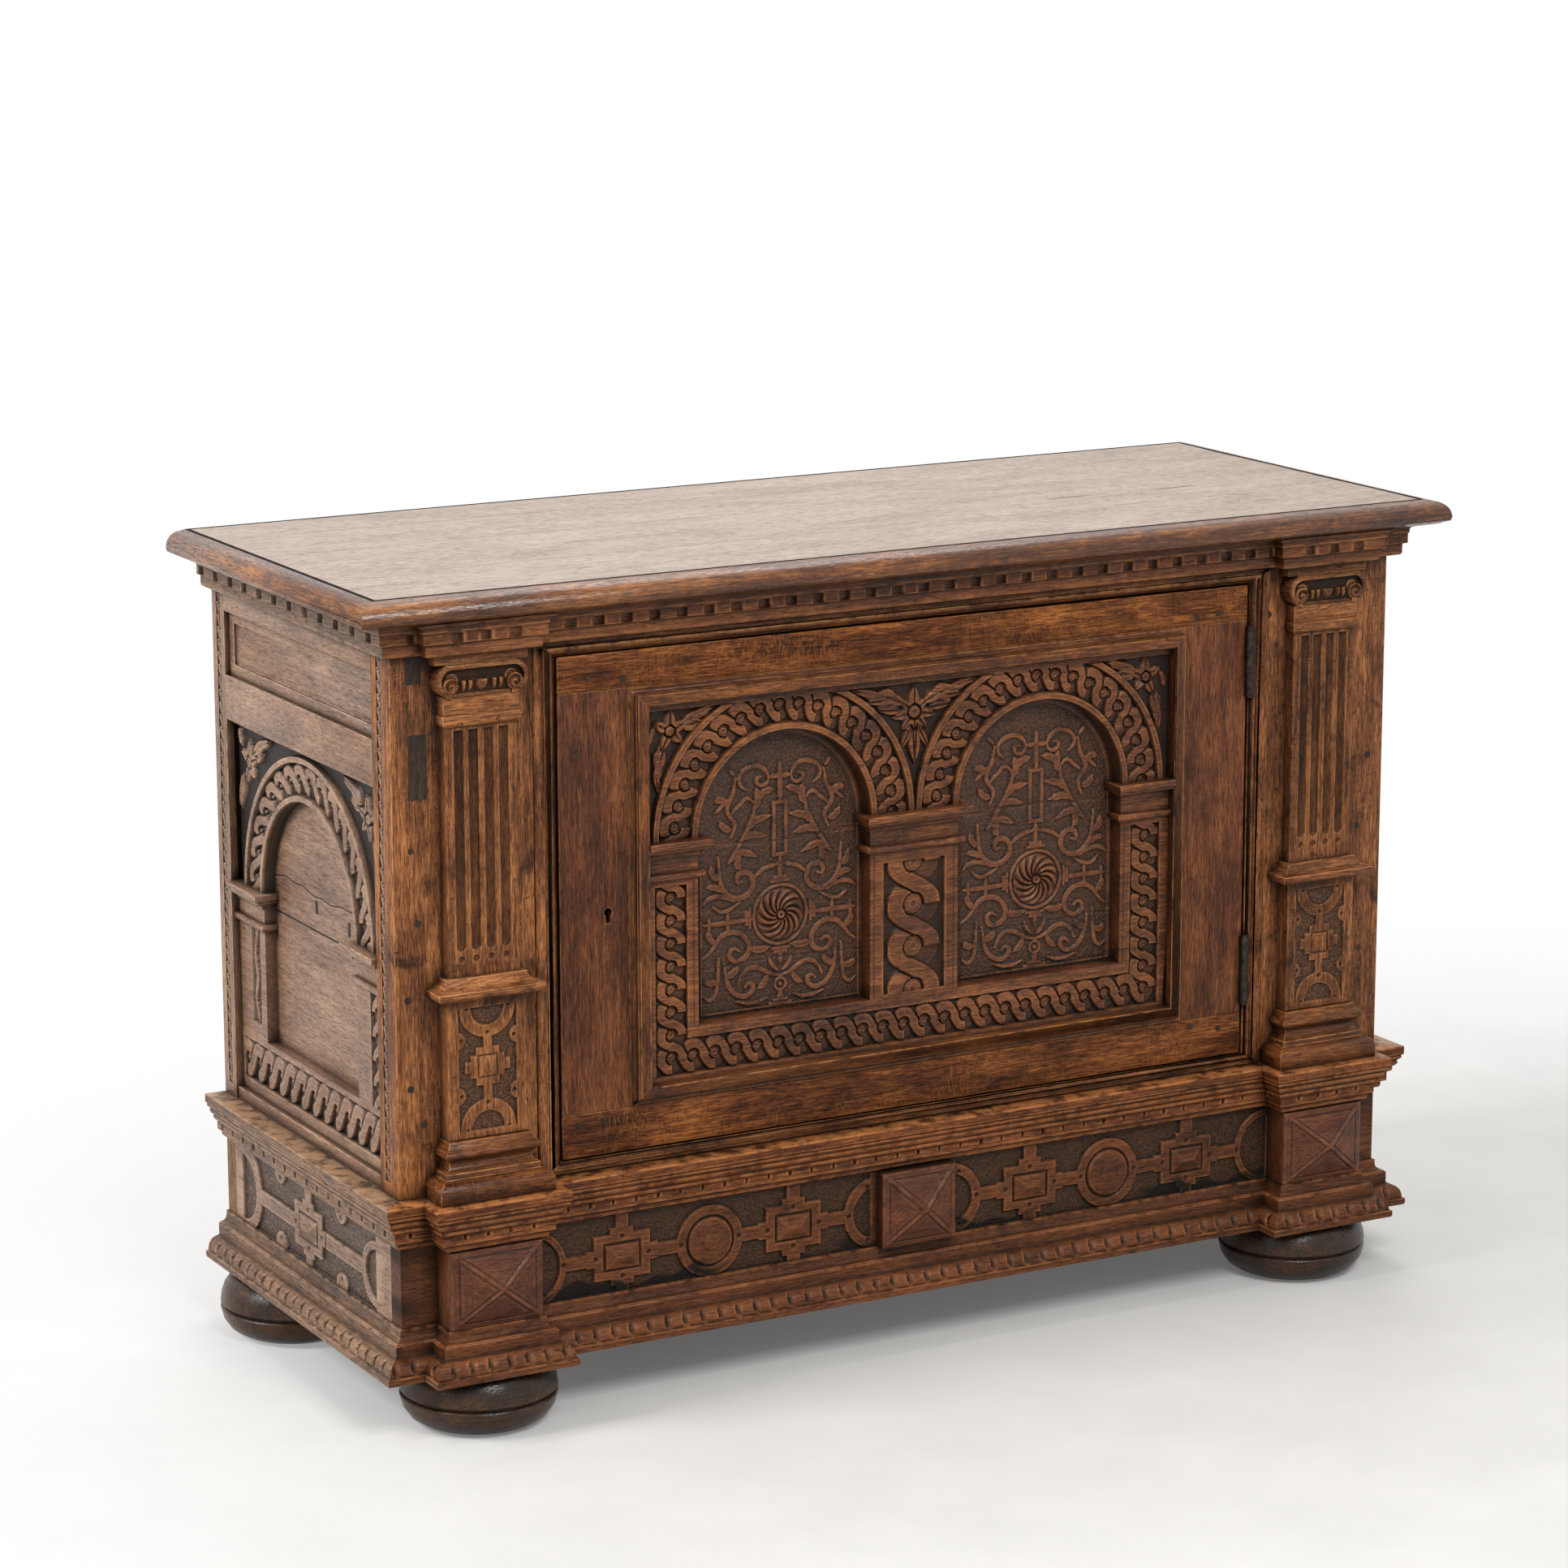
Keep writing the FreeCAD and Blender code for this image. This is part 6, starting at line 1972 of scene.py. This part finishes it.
@dataclass
class Carcass:
    """The plain boards, cornice, top, inside and feet."""

    bench: Bench
    joints: tuple = (-92.0, 58.0, 176.0)
    cracks: tuple = ((-560.0, 420.0, 205.0), (-90.0, 360.0, 118.0), (180.0, 330.0, -20.0))
    back_courses: int = 4
    top_sink: float = 0.25
    inlay_width: float = 4.6
    inlay_deep: float = 2.0
    ledge_pegs: tuple = ((-377, 156), (-143, 155), (120, 156), (330, 155))
    cornice_section: tuple = (
        (0.00, 0.00), (0.34, 0.00), (0.54, 0.13, 0.49, 0.03), (0.54, 0.36), (0.73, 0.40), (0.73, 0.69),
        (0.79, 0.75), (1.00, 0.93, 0.82, 0.88), (1.00, 1.00), (0.00, 1.00))
    foot_radius: float = 82.0
    foot_height: float = 66.0
    foot_section: tuple = (
        (0.0, 0.0), (0.58, 0.0), (0.66, 0.01), (0.78, 0.05), (0.89, 0.14), (0.965, 0.28), (1.0, 0.45),
        (0.985, 0.475), (0.955, 0.49), (0.955, 0.505), (0.985, 0.52), (1.0, 0.545), (0.985, 0.68),
        (0.945, 0.82), (0.87, 0.94), (0.76, 1.0), (0.0, 1.0))
    cornice_cuts: tuple = (Notches(31.4, 12.4, 14.2, 23.6, 3.8),)
    cornice_side_cuts: tuple = (Notches(39.3, 12.6, 14.0, 23.8, 5.5, 0.35),)

    def build(self) -> None:
        """Makes all pieces of the carcass."""
        fit, dress = self.bench.fit, self.bench.dress
        dress("front", FRONT, 1.0, "front_stile_left", "front_stile_right")
        dress("front", FRONT, 0.8, "front_rail_top", "front_rail_bottom")
        dress("front", FRONT, 1.1, "doorway_moulding")
        cornice = Moulding("cornice", self.cornice_section, 22.0, 35.0, 743.0, 15.0, 52.0, CORNICE, SIDE_TRIM_LIT,
                           self.cornice_cuts, self.cornice_side_cuts)
        cornice.build(self.bench, "edge", "cornice")
        dress("edge", EDGE, 0.6, "top_edge_mouldings")
        self._top()
        self._inlay()
        back = self.bench.eased("back_boards", INSIDE, 1.2, courses=self.back_courses)
        fit(back, "inside", ["back_boards"])
        dress("inside", INSIDE, 0.8, "bottom_board", "shelf", "board_bearers")
        for name in ("front_left", "front_right", "rear_left", "rear_right"):
            self._foot(f"foot_{name}")
        pegs = self.bench.pegs("plinth_pegs", self.bench.datum.front_face(-10.0), self.ledge_pegs, 3.8)
        fit(pegs, "plinth")

    def _top(self) -> None:
        """The top's planks, with their joints and a crack or two."""
        low, high = (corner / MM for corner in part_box("top_board"))
        face = Face(Vector((0, 0, (high.z - self.top_sink) * MM)), Vector((1, 0, 0)), Vector((0, 1, 0)))
        marks = [low.y]
        for joint in self.joints:
            marks += [joint - 2.4, joint + 2.4]
        marks.append(high.y)
        sizes = [6.0 if index % 2 == 0 else 0.6 for index in range(len(marks) - 1)]
        x, y = np.meshgrid(spaced([low.x, high.x], 7.0), spaced(marks, sizes))
        height = 0.12 * np.sin(y / 31 + 0.6 * np.sin(x / 190))
        board = np.zeros(x.shape)
        for joint in self.joints:
            height = height - 0.5 * soft(np.abs(y - joint - 0.6 * np.sin(x / 240)), 0.9, 0.3)
            board = board + 1.7 * (y > joint)
        for start, length, level in self.cracks:
            inside = soft(np.minimum(x - start, start + length - x), 0, 60)
            height = height - 0.5 * inside * soft(np.abs(y - level - 1.2 * np.sin(x / 47)), 1.0, 0.3)
        self.bench.carve("top", "top_planks", face, x, y, height, high.z - low.z - self.top_sink, TOP_SHEEN,
                         Grain.ALONG_X, nodes=["top_board"], board=board, cells=2, reach=0.35)

    def _inlay(self) -> None:
        """The dark line let in all round the top, its corners mitred."""
        low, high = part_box("top_inlay")
        bm = bmesh.new()
        place = Matrix.Translation(((low.x + high.x) / 2, (low.y + high.y) / 2, high.z)) @ Matrix.Diagonal(
            (high.x - low.x, high.y - low.y, 1, 1))
        bmesh.ops.create_grid(bm, x_segments=1, y_segments=1, size=0.5, matrix=place)
        inner = list(bm.faces)
        bmesh.ops.inset_region(bm, faces=inner, thickness=self.inlay_width * MM, use_boundary=True,
                                 use_even_offset=True)
        bmesh.ops.delete(bm, geom=inner, context="FACES")
        bmesh.ops.solidify(bm, geom=list(bm.faces), thickness=self.inlay_deep * MM)
        piece = Mesher.finish(bm, "top_inlay_line")
        piece.data.materials.append(self.bench.wardrobe.oak(INLAY, Grain.ALONG_X))
        self.bench.fit(piece, "inlay", ["top_inlay"])

    def _foot(self, node: str) -> None:
        """A turned bun foot.

        Args:
            node: the frame's node that it stands for.
        """
        low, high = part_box(node)
        middle = (low + high) / 2
        bm = bmesh.new()
        verts = [bm.verts.new((out * self.foot_radius * MM, 0, up * self.foot_height * MM))
                 for out, up in self.foot_section]
        edges = [bm.edges.new(pair) for pair in zip(verts, verts[1:])]
        bmesh.ops.subdivide_edges(bm, edges=edges, cuts=1)
        bmesh.ops.spin(bm, geom=list(bm.verts) + list(bm.edges), cent=(0, 0, 0), axis=(0, 0, 1),
                       angle=math.tau, steps=96, use_merge=True)
        bmesh.ops.remove_doubles(bm, verts=bm.verts, dist=0.01 * MM)
        bmesh.ops.translate(bm, verts=bm.verts, vec=(middle.x, middle.y, 0))
        piece = Mesher.finish(bm, f"{node}_turned")
        piece.data.materials.append(self.bench.wardrobe.oak(FOOT, Grain.ALONG_X))
        self.bench.fit(piece, "foot", [node])


@dataclass
class Ironwork:
    """Hinges, lock, bolt and strike."""

    bench: Bench
    nodes: tuple = ("hinge_door_leaves", "hinge_frame_leaves", "hinge_pins", "lock_bolt", "lock_case",
                    "lock_strike")

    def build(self) -> None:
        """Gives the frame's own iron pieces their finish."""
        iron = Iron().build()
        for node in self.nodes:
            data = self.bench.frame["nodes"][node].data
            data.materials.clear()
            data.materials.append(iron)
            LOG.info("%s: iron", node)


@dataclass
class Studio:
    """The camera, lamps, floor and backdrop."""

    eye: tuple = (-2.4821, -4.4216, 1.7110)
    azimuth: float = 28.83
    elevation: float = 12.60
    roll: float = -0.11
    lens: float = 109.84
    aim_height: float = 0.4
    world_light: float = 0.55

    def build(self) -> None:
        """Sets up everything that isn't part of the cabinet."""
        self._camera()
        self._floor()
        self._world()
        self._lamp("key_lamp", (0.8, 1.5, 3.0), 1.8, 36.0)
        self._lamp("fill_lamp", (-0.4, -3.2, 3.3), 1.5, 102.0)
        self._lamp("side_lamp", (-3.7, 0.2, 2.8), 1.4, 122.0)
        bpy.context.scene.view_settings.view_transform = "Standard"

    def _camera(self) -> None:
        """The camera at the photograph's angle."""
        camera = bpy.data.objects.new("camera", bpy.data.cameras.new("camera"))
        camera.data.lens = self.lens
        camera.data.sensor_width = 36.0
        turn = Matrix.Rotation(math.radians(-self.azimuth), 4, "Z")
        tilt = Matrix.Rotation(math.radians(90 - self.elevation), 4, "X")
        spin = Matrix.Rotation(math.radians(self.roll), 4, "Z")
        camera.matrix_world = Matrix.Translation(self.eye) @ turn @ tilt @ spin
        bpy.context.scene.collection.objects.link(camera)
        bpy.context.scene.camera = camera

    def _lamp(self, name: str, place: tuple, size: float, power: float) -> None:
        """A soft square lamp that points at the cabinet.

        Args:
            name: its name.
            place: where it hangs.
            size: how wide it is.
            power: its power in watts.
        """
        data = bpy.data.lights.new(name, "AREA")
        data.size = size
        data.energy = power
        lamp = bpy.data.objects.new(name, data)
        aim = Vector((0, 0, self.aim_height)) - Vector(place)
        lamp.matrix_world = Matrix.Translation(place) @ aim.to_track_quat("-Z", "Y").to_matrix().to_4x4()
        bpy.context.scene.collection.objects.link(lamp)

    @staticmethod
    def _seen(sh: Shader) -> Socket:
        """Tells the eye's light from the light that falls on things.

        Args:
            sh: the nodes of the material or world.

        Returns:
            1 for what the eye sees straight, in gloss or through glass.
        """
        path = sh.add("LightPath")
        either = sh.math("MAXIMUM", path.outputs["Is Camera Ray"], path.outputs["Is Glossy Ray"])
        return sh.math("MAXIMUM", either, path.outputs["Is Transmission Ray"])

    def _floor(self) -> None:
        """A wide pale floor that keeps the cabinet's shadow."""
        bm = bmesh.new()
        bmesh.ops.create_grid(bm, x_segments=1, y_segments=1, size=30)
        floor = Mesher.finish(bm, "floor")
        sh = Shader(bpy.data.materials.new("pale_floor"))
        here = sh.add("TexCoord").outputs["Object"]
        tint = sh.ramp(sh.noise(here, 6.0, 6.0), [(0.3, "cac8c5"), (0.7, "d2d0cd")])
        matt = sh.add("BsdfDiffuse", {"Color": tint}).outputs[0]
        glow = sh.add("Emission", {"Color": shade("ffffff"), "Strength": 0.1}).outputs[0]
        near = sh.add("AddShader", {0: matt, 1: glow}).outputs[0]
        white = sh.add("Emission", {"Color": shade("ffffff"), "Strength": 1.0}).outputs[0]
        gap = sh.add("VectorMath", {0: here, 1: (0.45, -0.65, 0.0)}, operation="DISTANCE").outputs["Value"]
        both = sh.add("MixShader", {0: sh.step(gap, 0.9, 2.1), 1: near, 2: white}).outputs[0]
        grey = sh.add("BsdfDiffuse", {"Color": shade("a2a09c")}).outputs[0]
        mixed = sh.add("MixShader", {0: self._seen(sh), 1: grey, 2: both}).outputs[0]
        sh.add("OutputMaterial", {"Surface": mixed})
        floor.data.materials.append(sh.owner)

    def _world(self) -> None:
        """A white world for the eye and a soft grey one for the light."""
        world = bpy.data.worlds.new("studio")
        bpy.context.scene.world = world
        sh = Shader(world)
        white = shade("ffffff")
        plain = sh.add("Background", {"Color": white, "Strength": self.world_light}).outputs[0]
        bright = sh.add("Background", {"Color": white, "Strength": 1.0}).outputs[0]
        mixed = sh.add("MixShader", {0: self._seen(sh), 1: plain, 2: bright}).outputs[0]
        sh.add("OutputWorld", {"Surface": mixed})


def main() -> None:
    """Loads the frame and dresses it."""
    logging.basicConfig(level=logging.INFO, format="%(name)s: %(message)s")
    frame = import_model()
    bench = Bench(frame, Datum.read())
    Studio().build()
    Door(bench).build()
    for left in (True, False):
        Side(bench, left).build()
    Plinth(bench).build()
    Pilasters(bench).build()
    Carcass(bench).build()
    Ironwork(bench).build()
    LOG.info("%d pieces fitted", bench.count)


if __name__ == "__main__":
    main()
